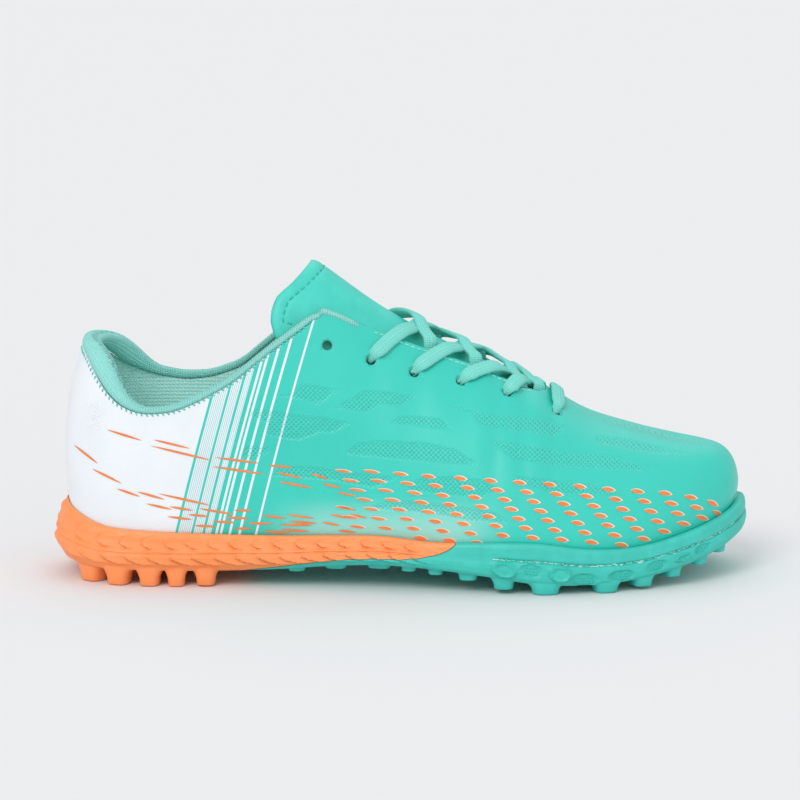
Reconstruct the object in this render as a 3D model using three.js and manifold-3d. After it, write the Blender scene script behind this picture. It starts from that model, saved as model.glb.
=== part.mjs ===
// A football shoe for artificial turf, right foot, in millimetres, +Z up, toe towards +X and outer side
// towards -Y. The upper is a shell between two copies of one last-shaped form. Collar, tongue and insole are
// cut from further copies of the same form, and the two sole units are a cupped block that it presses into.
import * as THREE from 'three';
import { mergeVertices } from 'three/addons/utils/BufferGeometryUtils.js';
import Module from 'manifold-3d';

const wasm = await Module();
wasm.setup();

// Overall sizes of the shoe
const LENGTH = 275;
const BALL_WIDTH = 94;
const HEEL_WIDTH = 66;
const HEEL_HEIGHT = 96;
const SIDE_HEIGHT = 70;
const INSTEP_HEIGHT = 106;
const TONGUE_HEIGHT = 126;
const TOE_HEIGHT = 54;
const HEEL_FULL_HEIGHT = 50;
const HEEL_LEAN = 9;
const HEEL_TUCK = 3.4;

// Heights of the sole: the floor under the foot, the rubber edge outside and the lugs below
const FLOOR_HEIGHT = 14;
const EDGE_HEIGHT = 20;
const LUG_HEIGHT = 6.4;
const TOE_SPRING = 14;

// Thicknesses and clearances
const WALL = 2;
const CLEARANCE = 0.3;
const COLLAR_PAD = 7;
const COLLAR_ROLL = 3;
const COLLAR_PROUD = 0.5;
const TONGUE_THICKNESS = 4;
const INSOLE_THICKNESS = 4;
const EDGE_TUCK = 4;
const TUCK_HEIGHT = 14;
const SOLE_FLARE = 4.2;

// Lacing
const LACE_WIDTH = 6;
const LACE_THICKNESS = 1.4;
const EYELET_DIAMETER = 4;
const LACE_SLACK = 0.8;
const STRAND_LEAD = 9;
const LACE_ROOM = LACE_THICKNESS + LACE_SLACK + 2 * CLEARANCE;
const LACE_ABOVE = CLEARANCE + LACE_THICKNESS / 2 + LACE_SLACK / 4;
const LACE_BELOW = LACE_ABOVE - WALL - LACE_ROOM;

// Lugs, studs and pods take their sizes as shares of LUG_SIZE. A lug has a root inside the sole, and its
// diameters over the corners, where it starts and at its tread face, are shares of its own size
const LUG_SIZE = 10;
const LUG_ROOT = 1.5;
const LUG_START = 1.08;
const LUG_FACE = 0.86;
const POD_DEPTH = 1.6;
const POD_SEAT = 0.7;

// Shares of LENGTH: how far the cutting solids reach past the shoe, where the collar ends at the throat, and
// the stretches over which one form passes into the next
const OUTREACH = 0.1;
const COLLAR_END = 0.385;
const HEEL_TO_ANKLE = [0.03, 0.26];
const PAD_TO_ROLL = [0.05, 0.17];
const TONGUE_TO_VAMP = [0.725, 0.745];
const HEEL_TO_FORE = [0.3, 0.62];

// The lean stops growing at this share of HEEL_HEIGHT, the two sides of the collar pass into each other over
// this share of HEEL_WIDTH, and the cut of the throat starts at this share of INSTEP_HEIGHT
const LEAN_LIMIT = 1.05;
const COLLAR_BLEND = 0.15;
const THROAT_FLOOR = 0.45;

// A strand sinks before the edge of the throat between these shares of LACE_WIDTH, and reaches this share of
// the way to its end
const STRAND_DIP = [0.5, 1.6];
const STRAND_REACH = 0.94;

// Mesh steps: stations of the form for each row of its table, strips on each side of its ridge, steps of the
// cutting layers along and across the shoe, steps of a lace, and sides of round things
const STATIONS_PER_ROW = 2;
const STRIPS = 8;
const COLLAR_STEPS = [32, 8];
const INSOLE_STEPS = [32, 2];
const LACE_STEPS = 8;
const ROUND_SIDES = 8;
const STUD_SIDES = 6;
const BISECTIONS = 40;

const table = (columns, rows) =>
  rows.map((row) => Object.fromEntries(columns.map((name, k) => [name, row[k]])));

// The last, a row for each section from heel to toe. Places along the shoe are shares of LENGTH, half widths
// are shares of the row's width, and the ridge is a share of the row's height. The ridge is the top line of
// the closed form, which runs on above the collar as a leg does. Fullness 2 is an ellipse, more is boxier.
const LAST = table(
  ['at', 'width', 'lateral', 'medial', 'ridgeAt', 'centre', 'height', 'ridge', 'fullness'],
  [
    [0.0153, HEEL_WIDTH, 0, 0, 0.164, 0, HEEL_HEIGHT, 1.56, 5],
    [0.029, HEEL_WIDTH, 0.242, 0.242, 0.171, 0, HEEL_HEIGHT, 1.56, 4.2],
    [0.073, HEEL_WIDTH, 0.41, 0.41, 0.189, 0, HEEL_HEIGHT, 1.56, 3.2],
    [0.145, HEEL_WIDTH, 0.485, 0.477, 0.211, 0, HEEL_HEIGHT, 1.56, 2.4],
    [0.236, HEEL_WIDTH, 0.492, 0.47, 0.262, 0.01, HEEL_HEIGHT, 1.54, 2.1],
    [0.327, HEEL_WIDTH, 0.508, 0.435, 0.327, 0.02, TONGUE_HEIGHT, 1.103, 2],
    [0.4, HEEL_WIDTH, 0.545, 0.43, 0.4, 0.03, TONGUE_HEIGHT, 0.994, 2],
    [0.473, BALL_WIDTH, 0.42, 0.32, 0.473, 0.03, INSTEP_HEIGHT, 1.045, 1.85],
    [0.545, BALL_WIDTH, 0.463, 0.365, 0.545, 0.035, INSTEP_HEIGHT, 0.934, 1.82],
    [0.618, BALL_WIDTH, 0.5, 0.425, 0.618, 0.04, INSTEP_HEIGHT, 0.84, 1.85],
    [0.691, BALL_WIDTH, 0.516, 0.473, 0.691, 0.045, INSTEP_HEIGHT, 0.722, 1.95],
    [0.764, BALL_WIDTH, 0.495, 0.484, 0.764, 0.045, TOE_HEIGHT, 1.185, 2.1],
    [0.836, BALL_WIDTH, 0.431, 0.447, 0.832, 0.05, TOE_HEIGHT, 1.065, 2.3],
    [0.904, BALL_WIDTH, 0.33, 0.372, 0.875, 0.055, TOE_HEIGHT, 1, 2.5],
    [0.952, BALL_WIDTH, 0.207, 0.282, 0.894, 0.06, TOE_HEIGHT, 0.968, 2.8],
    [0.98, BALL_WIDTH, 0.085, 0.191, 0.904, 0.063, TOE_HEIGHT, 0.95, 3.1],
    [0.99, BALL_WIDTH, -0.065, 0.065, 0.908, 0.065, TOE_HEIGHT, 0.945, 3.4],
  ],
);

// Heights of the sole at the same rows: floor inside, rubber edge outside and underside between the lugs,
// as shares of FLOOR_HEIGHT, EDGE_HEIGHT and LUG_HEIGHT, with the share of TOE_SPRING that lifts all three.
const SOLE = table(
  ['floor', 'edge', 'under', 'spring'],
  [
    [1, 1.5, 1.35, 0],
    [1, 1.37, 1.2, 0],
    [1, 1.14, 1.02, 0],
    [1, 1.08, 1, 0],
    [1.02, 1.03, 1, 0],
    [1.06, 1.01, 1.13, 0],
    [1.09, 1.04, 1.4, 0],
    [1.1, 1.06, 1.55, 0],
    [1.04, 0.98, 1.42, 0],
    [0.9, 1, 1.1, 0],
    [0.77, 1, 0.66, 0],
    [0.73, 0.86, 0.52, 0.01],
    [0.76, 0.8, 0.56, 0.09],
    [0.8, 0.83, 0.65, 0.3],
    [0.78, 0.83, 0.72, 0.55],
    [0.76, 0.8, 0.75, 0.8],
    [0.74, 0.8, 0.77, 0.93],
  ],
);

// Side profile of the sole: height share from underside to edge, and how far each ring stands out from the
// last, as shares of SOLE_FLARE, round the heel and round the forefoot. The forefoot has a groove.
const SIDE_PROFILE = table(
  ['rise', 'heel', 'fore'],
  [
    [0, 0.35, 0.3],
    [0.1, 0.62, 0.6],
    [0.28, 0.9, 0.7],
    [0.4, 1, 0.66],
    [0.5, 0.8, 0.26],
    [0.62, 0.68, 0.26],
    [0.7, 0.52, 0.6],
    [0.88, 0.36, 0.54],
    [1, 0.14, 0.34],
  ],
);

// Top edge of the collar and lower edge of its binding on each side, as shares of the named heights
const COLLAR = table(
  ['at', 'lateral', 'medial', 'bindLateral', 'bindMedial'],
  [
    [-0.1, HEEL_HEIGHT, HEEL_HEIGHT, 0.955 * HEEL_HEIGHT, 0.955 * HEEL_HEIGHT],
    [0.045, HEEL_HEIGHT, HEEL_HEIGHT, 0.955 * HEEL_HEIGHT, 0.955 * HEEL_HEIGHT],
    [0.07, 0.975 * HEEL_HEIGHT, 0.98 * HEEL_HEIGHT, 0.83 * HEEL_HEIGHT, 0.88 * HEEL_HEIGHT],
    [0.092, 0.89 * HEEL_HEIGHT, 0.95 * HEEL_HEIGHT, 0.755 * HEEL_HEIGHT, 0.83 * HEEL_HEIGHT],
    [0.115, 1.045 * SIDE_HEIGHT, 1.22 * SIDE_HEIGHT, 0.985 * SIDE_HEIGHT, 1.1 * SIDE_HEIGHT],
    [0.14, SIDE_HEIGHT, 1.115 * SIDE_HEIGHT, 0.965 * SIDE_HEIGHT, 1.06 * SIDE_HEIGHT],
    [0.18, 1.02 * SIDE_HEIGHT, 1.08 * SIDE_HEIGHT, 0.98 * SIDE_HEIGHT, 1.03 * SIDE_HEIGHT],
    [0.22, 1.09 * SIDE_HEIGHT, 1.085 * SIDE_HEIGHT, 1.045 * SIDE_HEIGHT, 1.045 * SIDE_HEIGHT],
    [0.265, 0.785 * INSTEP_HEIGHT, 0.76 * INSTEP_HEIGHT, 0.755 * INSTEP_HEIGHT, 0.73 * INSTEP_HEIGHT],
    [0.305, 0.87 * INSTEP_HEIGHT, 0.85 * INSTEP_HEIGHT, 0.84 * INSTEP_HEIGHT, 0.82 * INSTEP_HEIGHT],
    [0.345, 0.945 * INSTEP_HEIGHT, 0.94 * INSTEP_HEIGHT, 0.915 * INSTEP_HEIGHT, 0.91 * INSTEP_HEIGHT],
    [0.375, INSTEP_HEIGHT, INSTEP_HEIGHT, 0.97 * INSTEP_HEIGHT, 0.97 * INSTEP_HEIGHT],
    [0.395, INSTEP_HEIGHT, INSTEP_HEIGHT, 1.02 * INSTEP_HEIGHT, 1.02 * INSTEP_HEIGHT],
    [0.42, 1.4 * INSTEP_HEIGHT, 1.4 * INSTEP_HEIGHT, 1.4 * INSTEP_HEIGHT, 1.4 * INSTEP_HEIGHT],
    [1.1, 1.4 * INSTEP_HEIGHT, 1.4 * INSTEP_HEIGHT, 1.4 * INSTEP_HEIGHT, 1.4 * INSTEP_HEIGHT],
  ],
);

// Throat from the collar to its rounded end: place as a share of LENGTH, and the width of its edge on each
// side as a share of the way from the ridge line out to the side of the last
const THROAT = table(
  ['at', 'share'],
  [
    [0.335, 0.62],
    [0.385, 0.573],
    [0.435, 0.514],
    [0.475, 0.452],
    [0.545, 0.391],
    [0.618, 0.352],
    [0.67, 0.32],
    [0.697, 0.258],
    [0.708, 0.152],
    [0.712, 0],
  ],
);

// Tongue seen from the side, in shares of LENGTH and TONGUE_HEIGHT, from its tip down the rear edge of its
// wing, forward along the hidden lower edge and back over the lacing
const TONGUE = table(
  ['at', 'height'],
  [
    [0.384, 1.07],
    [0.362, 0.965],
    [0.347, 0.937],
    [0.333, 0.91],
    [0.323, 0.884],
    [0.317, 0.849],
    [0.315, 0.815],
    [0.32, 0.77],
    [0.34, 0.715],
    [0.4, 0.68],
    [0.47, 0.64],
    [0.55, 0.575],
    [0.64, 0.51],
    [0.72, 0.45],
    [0.765, 0.46],
    [0.765, 1.07],
  ],
);

// Eyelets of one side from the toe upwards, placed as the edge of the throat is
const EYELETS = table(
  ['at', 'share'],
  [
    [0.722, 0.384],
    [0.651, 0.452],
    [0.585, 0.518],
    [0.519, 0.582],
    [0.458, 0.641],
    [0.396, 0.706],
  ],
);

// Line in the side view between the heel unit above and the forefoot unit below, as shares of LENGTH and
// EDGE_HEIGHT, from the underside behind the waist to the point on the edge
const HEEL_UNIT_LINE = table(
  ['at', 'height'],
  [
    [0.258, 0.28],
    [0.28, 0.34],
    [0.327, 0.42],
    [0.373, 0.525],
    [0.42, 0.615],
    [0.465, 0.65],
    [0.5, 0.655],
    [0.53, 0.7],
    [0.553, 0.775],
    [0.57, 0.92],
  ],
);

// Lugs along the edge of each side. The inset is measured from the last, the drop is a share of the height
// between the underside and the ground, and size is along by across.
const EDGE_LUGS = table(
  ['at', 'long', 'wide', 'inset', 'drop', 'unit'],
  [
    [0.05, 0.9, 0.9, 0.4, 1, 'heel'],
    [0.095, 0.84, 1, 0.3, 1, 'heel'],
    [0.141, 0.76, 1, 0.3, 1, 'heel'],
    [0.18, 0.66, 1, 0.3, 1, 'heel'],
    [0.222, 0.74, 1, 0.3, 0.95, 'heel'],
    [0.35, 0.64, 0.6, 0.4, 0.25, 'fore'],
    [0.405, 0.8, 0.6, 0.4, 0.2, 'fore'],
    [0.466, 0.86, 0.6, 0.4, 0.2, 'fore'],
    [0.508, 0.54, 0.6, 0.4, 0.25, 'fore'],
    [0.546, 0.54, 0.6, 0.4, 0.3, 'fore'],
    [0.592, 0.68, 0.7, 0.4, 0.4, 'fore'],
    [0.643, 0.76, 0.9, 0.35, 0.7, 'fore'],
    [0.703, 1.04, 1, 0.35, 1, 'fore'],
    [0.79, 0.9, 1, 0.35, 1, 'fore'],
    [0.843, 0.76, 0.9, 0.35, 0.75, 'fore'],
    [0.888, 0.62, 0.8, 0.35, 0.5, 'fore'],
    [0.93, 0.6, 0.7, 0.35, 0.35, 'fore'],
    [0.962, 0.54, 0.6, 0.35, 0.28, 'fore'],
  ],
);

// Studs in the middle of the sole, the distance from the middle line as a share of BALL_WIDTH
const INNER_STUDS = table(
  ['at', 'side', 'size', 'drop', 'unit'],
  [
    [0.075, 0.08, 0.8, 1, 'heel'],
    [0.125, 0.13, 0.75, 1, 'heel'],
    [0.175, 0.12, 0.75, 1, 'heel'],
    [0.215, 0.1, 0.7, 1, 'heel'],
    [0.6, 0.16, 0.7, 0.45, 'fore'],
    [0.655, 0.22, 0.75, 0.8, 'fore'],
    [0.68, 0.08, 0.75, 1, 'fore'],
    [0.73, 0.2, 0.8, 1, 'fore'],
    [0.76, 0.07, 0.8, 1, 'fore'],
    [0.81, 0.19, 0.75, 0.9, 'fore'],
    [0.84, 0.06, 0.7, 0.75, 'fore'],
    [0.89, 0.13, 0.65, 0.5, 'fore'],
    [0.935, 0.05, 0.6, 0.35, 'fore'],
  ],
);

// Smooth pods on the side of the forefoot, between the lugs
const PODS = table(
  ['at', 'long', 'high', 'rise'],
  [
    [0.65, 1.04, 0.64, 0.3],
    [0.724, 0.92, 0.6, 0.3],
    [0.8, 0.96, 0.56, 0.32],
    [0.868, 0.74, 0.5, 0.32],
  ],
);

const LAST_ROW = LAST.length - 1;

// Smooth curve through four neighbouring values
function curveThrough(before, from, to, after, t) {
  const slopeFrom = (to - before) / 2;
  const slopeTo = (after - from) / 2;
  const t2 = t * t;
  const t3 = t2 * t;
  return (2 * t3 - 3 * t2 + 1) * from + (t3 - 2 * t2 + t) * slopeFrom
    + (3 * t2 - 2 * t3) * to + (t3 - t2) * slopeTo;
}

// Value of a column at a row number with a fraction. Past heel and toe the rows come back on the other side
function along(read, mirrored, u) {
  if (u < 0) return along(mirrored, read, -u);
  if (u > LAST_ROW) return along(mirrored, read, 2 * LAST_ROW - u);
  const first = Math.min(Math.max(Math.floor(u), 0), LAST_ROW - 1);
  const pick = (k) => {
    if (k < 0) return mirrored(-k);
    if (k > LAST_ROW) return mirrored(2 * LAST_ROW - k);
    return read(k);
  };
  return curveThrough(pick(first - 1), pick(first), pick(first + 1), pick(first + 2), u - first);
}

const column = (rows, name, scale = () => 1) => {
  const read = (k) => rows[k][name] * scale(rows[k]);
  return (u) => along(read, read, u);
};

const stationAt = column(LAST, 'at', () => LENGTH);
const ridgeAt = column(LAST, 'ridgeAt', () => LENGTH);
const ridgeHeight = column(LAST, 'ridge', (row) => row.height);
const centreLine = column(LAST, 'centre', () => BALL_WIDTH);
const fullness = column(LAST, 'fullness');
const springAt = column(SOLE, 'spring', () => TOE_SPRING);
const floorHeight = (u) => column(SOLE, 'floor', () => FLOOR_HEIGHT)(u) + springAt(u);
const edgeHeight = (u) => column(SOLE, 'edge', () => EDGE_HEIGHT)(u) + springAt(u);
const underHeight = (u) => column(SOLE, 'under', () => LUG_HEIGHT)(u) + springAt(u);

const lateralSide = (k) => -LAST[k].lateral * LAST[k].width;
const medialSide = (k) => LAST[k].medial * LAST[k].width;
const sideLine = (u, side) =>
  (side < 0 ? along(lateralSide, medialSide, u) : along(medialSide, lateralSide, u));

// Share of a stretch of the shoe that is passed at a place, with soft ends
const passed = (x, [from, to]) => THREE.MathUtils.smoothstep(x, from * LENGTH, to * LENGTH);

// Row number at a place along the shoe
function rowAt(x) {
  let low = 0;
  let high = LAST_ROW;
  for (let step = 0; step < BISECTIONS; step += 1) {
    const middle = (low + high) / 2;
    if (stationAt(middle) < x) low = middle;
    else high = middle;
  }
  return (low + high) / 2;
}

// How far the heel leans forward at a height. It is fullest at HEEL_FULL_HEIGHT and fades out by the ankle
function heelLean(x, z) {
  const above = Math.min(z, LEAN_LIMIT * HEEL_HEIGHT) - HEEL_FULL_HEIGHT;
  const lean = above > 0
    ? HEEL_LEAN * (above / (HEEL_HEIGHT - HEEL_FULL_HEIGHT)) ** 2
    : HEEL_TUCK * (above / (HEEL_FULL_HEIGHT - FLOOR_HEIGHT)) ** 2;
  return lean * (1 - passed(x, HEEL_TO_ANKLE));
}

// A point of the last: u runs over the rows from heel to toe, v from -1 at the outer edge of the sole
// over the ridge at 0 to 1 at the inner edge
function lastPoint(u, v) {
  const angle = (1 - Math.abs(v)) * Math.PI / 2;
  const power = fullness(u);
  const reach = (Math.cos(angle) ** power + Math.sin(angle) ** power) ** (-1 / power);
  const rise = reach * Math.sin(angle);
  const floor = floorHeight(u);
  const z = floor + (ridgeHeight(u) - floor) * rise;
  const ridgeX = ridgeAt(u);
  const ridgeY = centreLine(u);
  const spreadX = stationAt(u) - ridgeX;
  const spreadY = sideLine(u, v) - ridgeY;
  const tuck = EDGE_TUCK * Math.max(0, 1 - (z - floor) / TUCK_HEIGHT) ** 2;
  const spread = reach * Math.cos(angle) - tuck / Math.hypot(spreadX, spreadY);
  const x = ridgeX + spreadX * spread;
  return new THREE.Vector3(x + heelLean(x, z), ridgeY + spreadY * spread, z);
}

function lastNormal(u, v) {
  const stepU = 0.02;
  const stepV = 0.01;
  const alongShoe = lastPoint(u + stepU, v).sub(lastPoint(u - stepU, v));
  const overShoe = lastPoint(u, Math.min(v + stepV, 1)).sub(lastPoint(u, Math.max(v - stepV, -1)));
  return alongShoe.cross(overShoe).normalize();
}

const onLast = (u, v, out) => lastPoint(u, v).addScaledVector(lastNormal(u, v), out);

// Place on top of the last at a distance along the shoe and a distance across it
function placeOnLast(x, y) {
  const u = rowAt(x);
  let low = -1;
  let high = 1;
  for (let step = 0; step < BISECTIONS; step += 1) {
    const middle = (low + high) / 2;
    if (lastPoint(u, middle).y < y) low = middle;
    else high = middle;
  }
  return { u, v: (low + high) / 2 };
}

// A closed solid from points and from triangles of their numbers
function solidFrom(points, triangles) {
  const geometry = new THREE.BufferGeometry();
  geometry.setAttribute('position', new THREE.Float32BufferAttribute(points.flatMap((p) => p.toArray()), 3));
  geometry.setIndex(triangles.flat());
  return solidOf(geometry);
}

function solidOf(geometry) {
  geometry.deleteAttribute('normal');
  geometry.deleteAttribute('uv');
  const merged = mergeVertices(geometry, 1e-4);
  const index = Array.from(merged.index.array);
  const triVerts = [];
  for (let k = 0; k < index.length; k += 3) {
    const [a, b, c] = index.slice(k, k + 3);
    if (a !== b && b !== c && c !== a) triVerts.push(a, b, c);
  }
  const mesh = new wasm.Mesh({
    numProp: 3,
    vertProperties: merged.attributes.position.array,
    triVerts: Uint32Array.from(triVerts),
  });
  return new wasm.Manifold(mesh);
}

const placed = (geometry, matrix) => solidOf(geometry.applyMatrix4(matrix));

// Two triangles for each cell of a grid of points with the given number of columns
function gridTriangles(rows, columns, start = 0) {
  const triangles = [];
  for (let i = 0; i < rows - 1; i += 1) {
    for (let j = 0; j < columns - 1; j += 1) {
      const a = start + i * columns + j;
      triangles.push([a, a + columns, a + columns + 1], [a, a + columns + 1, a + 1]);
    }
  }
  return triangles;
}

// The last as a closed solid, grown outwards by out(u) and with its underside lowered by drop
function lastForm(out, drop = 0) {
  const stations = LAST_ROW * STATIONS_PER_ROW;
  const columns = 2 * STRIPS + 3;
  const points = [];
  for (let i = 0; i <= stations; i += 1) {
    const u = i / STATIONS_PER_ROW;
    const profile = [];
    for (let j = -STRIPS; j <= STRIPS; j += 1) profile.push(onLast(u, j / STRIPS, out(u)));
    const lower = (point) => point.clone().setZ(floorHeight(u) - drop);
    points.push(lower(profile[0]), ...profile, lower(profile[2 * STRIPS]));
  }
  const triangles = gridTriangles(stations + 1, columns);
  for (let i = 0; i < stations; i += 1) {
    const lateral = i * columns;
    const medial = lateral + columns - 1;
    triangles.push([lateral, medial, medial + columns], [lateral, medial + columns, lateral + columns]);
  }
  return solidFrom(points, triangles);
}

// A solid between two height functions over the shoe
function layer(lowest, highest, [stepsX, stepsY]) {
  const points = [];
  for (const height of [lowest, highest]) {
    for (let i = 0; i <= stepsX; i += 1) {
      const x = THREE.MathUtils.lerp(-OUTREACH * LENGTH, (1 + OUTREACH) * LENGTH, i / stepsX);
      for (let j = 0; j <= stepsY; j += 1) {
        const y = THREE.MathUtils.lerp(-BALL_WIDTH, BALL_WIDTH, j / stepsY);
        points.push(new THREE.Vector3(x, y, height(x, y)));
      }
    }
  }
  const columns = stepsY + 1;
  const sheet = (stepsX + 1) * columns;
  const bottom = gridTriangles(stepsX + 1, columns).map(([a, b, c]) => [a, c, b]);
  const top = gridTriangles(stepsX + 1, columns, sheet);
  const rim = [];
  for (let i = 0; i < stepsX; i += 1) rim.push([i * columns, (i + 1) * columns]);
  for (let j = 0; j < stepsY; j += 1) rim.push([stepsX * columns + j, stepsX * columns + j + 1]);
  for (let i = stepsX; i > 0; i -= 1) rim.push([i * columns + stepsY, (i - 1) * columns + stepsY]);
  for (let j = stepsY; j > 0; j -= 1) rim.push([j, j - 1]);
  const walls = rim.flatMap(([a, b]) => [[a, b, b + sheet], [a, b + sheet, a + sheet]]);
  return solidFrom(points, [...bottom, ...top, ...walls]);
}

// Value of a table's column at a place along the shoe, on straight lines between its rows
function tableHeight(rows, name, x) {
  const place = x / LENGTH;
  let k = 0;
  while (k < rows.length - 2 && rows[k + 1].at < place) k += 1;
  const share = (place - rows[k].at) / (rows[k + 1].at - rows[k].at);
  return THREE.MathUtils.lerp(rows[k][name], rows[k + 1][name], THREE.MathUtils.clamp(share, 0, 1));
}

// Height of a line round the collar, from its outer side over the heel to its inner side
function collarHeight(lateralName, medialName, x, y) {
  const blend = THREE.MathUtils.smoothstep(y, -COLLAR_BLEND * HEEL_WIDTH, COLLAR_BLEND * HEEL_WIDTH);
  return THREE.MathUtils.lerp(tableHeight(COLLAR, lateralName, x), tableHeight(COLLAR, medialName, x), blend);
}

const collarTop = (x, y) => collarHeight('lateral', 'medial', x, y);
const bindingLine = (x, y) => collarHeight('bindLateral', 'bindMedial', x, y);

// A prism from an outline in the side view, right across the shoe
function sidePrism(outline) {
  const shape = new THREE.Shape(outline.map(([x, z]) => new THREE.Vector2(x, z)));
  const geometry = new THREE.ExtrudeGeometry(shape, { depth: 2 * BALL_WIDTH, bevelEnabled: false });
  const upright = new THREE.Matrix4().makeRotationX(Math.PI / 2).setPosition(0, BALL_WIDTH, 0);
  return placed(geometry, upright);
}

// Distance across the shoe at a share of the way from the ridge line to one side
function acrossAt(x, share, side) {
  const u = rowAt(x);
  return THREE.MathUtils.lerp(centreLine(u), sideLine(u, side), share);
}

// The edge of the throat on one side, as a distance across the shoe
const throatEdge = (x, side) => acrossAt(x, tableHeight(THROAT, 'share', x), side);

// The opening over the instep, cut from above
function throatCut() {
  const edge = (side) => THROAT.map((row) => {
    const x = row.at * LENGTH;
    return new THREE.Vector2(x, throatEdge(x, side));
  });
  const shape = new THREE.Shape([...edge(-1), ...edge(1).reverse().slice(1)]);
  const geometry = new THREE.ExtrudeGeometry(shape, { depth: 2 * INSTEP_HEIGHT, bevelEnabled: false });
  return placed(geometry, new THREE.Matrix4().makeTranslation(0, 0, THROAT_FLOOR * INSTEP_HEIGHT));
}

// The six eyelets of a side, as places on the last
function eyeletPlaces(side) {
  return EYELETS.map((row) => {
    const x = row.at * LENGTH;
    return placeOnLast(x, acrossAt(x, row.share, side));
  });
}

function eyeletCuts() {
  const up = new THREE.Vector3(0, 1, 0);
  return [-1, 1].flatMap(eyeletPlaces).map(({ u, v }) => {
    const radius = EYELET_DIAMETER / 2;
    const turn = new THREE.Quaternion().setFromUnitVectors(up, lastNormal(u, v));
    const matrix = new THREE.Matrix4().compose(lastPoint(u, v), turn, new THREE.Vector3(1, 1, 1));
    return placed(new THREE.CylinderGeometry(radius, radius, 4 * WALL, ROUND_SIDES), matrix);
  });
}

const highest = () => 2 * HEEL_HEIGHT;
const aboveCollar = layer(collarTop, highest, COLLAR_STEPS);
const throat = throatCut();

function upperSolid() {
  const belowBinding = (x, y) => bindingLine(x, y) - CLEARANCE;
  const hollow = lastForm(() => -WALL, WALL + CLEARANCE);
  const open = [hollow, layer(belowBinding, highest, COLLAR_STEPS), throat, ...eyeletCuts()];
  return open.reduce((shell, cut) => shell.subtract(cut), lastForm(() => 0));
}

// Padding is thick round the heel and thin along the sides
function collarDepth(u) {
  return -THREE.MathUtils.lerp(COLLAR_PAD, COLLAR_ROLL, passed(stationAt(u), PAD_TO_ROLL));
}

function collarSolid() {
  const ring = lastForm(() => COLLAR_PROUD).subtract(lastForm(collarDepth, WALL));
  const below = layer(() => 0, bindingLine, COLLAR_STEPS);
  const front = sidePrism([
    [COLLAR_END * LENGTH, 0],
    [LENGTH, 0],
    [LENGTH, highest()],
    [COLLAR_END * LENGTH, highest()],
  ]);
  return ring.subtract(below).subtract(aboveCollar).subtract(throat).subtract(front);
}

// The tongue lies low enough under the eyestay for the lace, and is sewn up under the vamp at its front
function tongueDepth(u) {
  return -WALL - THREE.MathUtils.lerp(LACE_ROOM, CLEARANCE, passed(stationAt(u), TONGUE_TO_VAMP));
}

function tongueSolid() {
  const outline = TONGUE.map((row) => [row.at * LENGTH, row.height * TONGUE_HEIGHT]);
  const inner = lastForm((u) => tongueDepth(u) - TONGUE_THICKNESS, WALL);
  return lastForm(tongueDepth).intersect(sidePrism(outline)).subtract(inner);
}

function insoleSolid() {
  const top = (x) => floorHeight(rowAt(x)) + INSOLE_THICKNESS;
  return lastForm(() => -WALL - CLEARANCE).intersect(layer(() => 0, top, INSOLE_STEPS));
}

// Outward direction of the outline in plan on one side
function outlineNormal(u, side) {
  const step = 0.02;
  const before = new THREE.Vector2(stationAt(u - step), sideLine(u - step, side));
  const after = new THREE.Vector2(stationAt(u + step), sideLine(u + step, side));
  const tangent = after.sub(before).normalize();
  return side < 0 ? new THREE.Vector2(tangent.y, -tangent.x) : new THREE.Vector2(-tangent.y, tangent.x);
}

// A point of the outline in plan, moved outwards
function outlinePoint(u, side, out) {
  const normal = outlineNormal(u, side);
  return new THREE.Vector2(stationAt(u) + normal.x * out, sideLine(u, side) + normal.y * out);
}

// A point on a ring of the sole's side
function soleRing(u, side, row) {
  const out = SOLE_FLARE * THREE.MathUtils.lerp(row.heel, row.fore, passed(stationAt(u), HEEL_TO_FORE));
  const point = outlinePoint(u, side, out);
  const z = THREE.MathUtils.lerp(underHeight(u), edgeHeight(u), row.rise);
  return new THREE.Vector3(point.x + heelLean(point.x, z) * row.rise ** 3, point.y, z);
}

// Both sole units in one block, cupped for the upper
function soleBlock() {
  const stations = LAST_ROW * STATIONS_PER_ROW;
  const columns = 2 * SIDE_PROFILE.length;
  const points = [];
  for (let i = 0; i <= stations; i += 1) {
    const u = i / STATIONS_PER_ROW;
    for (const row of SIDE_PROFILE) points.push(soleRing(u, -1, row));
    for (const row of [...SIDE_PROFILE].reverse()) points.push(soleRing(u, 1, row));
  }
  const triangles = gridTriangles(stations + 1, columns);
  for (let i = 0; i < stations; i += 1) {
    const lateral = i * columns;
    const medial = lateral + columns - 1;
    triangles.push([lateral, medial, medial + columns], [lateral, medial + columns, lateral + columns]);
  }
  return solidFrom(points, triangles).subtract(lastForm(() => CLEARANCE, CLEARANCE));
}

// The heel unit's region in the side view. Its line is moved by the gap for the forefoot unit's cut
function heelRegion(gap) {
  const line = HEEL_UNIT_LINE.map((row) => [row.at * LENGTH + gap, row.height * EDGE_HEIGHT - gap]);
  const [startX] = line[0];
  const [endX] = line[line.length - 1];
  const back = -OUTREACH * LENGTH;
  const below = [[back, -EDGE_HEIGHT], [startX, -EDGE_HEIGHT]];
  const above = [[endX, highest()], [back, highest()]];
  return sidePrism([...below, ...line, ...above]);
}

// A tapered lug, from inside the sole down to its flat tread face
function lug(x, y, turn, top, bottom, long, wide, sides) {
  const geometry = new THREE.CylinderGeometry(LUG_START / 2, LUG_FACE / 2, top - bottom, sides);
  geometry.rotateY(Math.PI / sides).rotateX(Math.PI / 2);
  geometry.scale(long * LUG_SIZE, wide * LUG_SIZE, 1).rotateZ(turn);
  return placed(geometry, new THREE.Matrix4().makeTranslation(x, y, (top + bottom) / 2));
}

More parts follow.
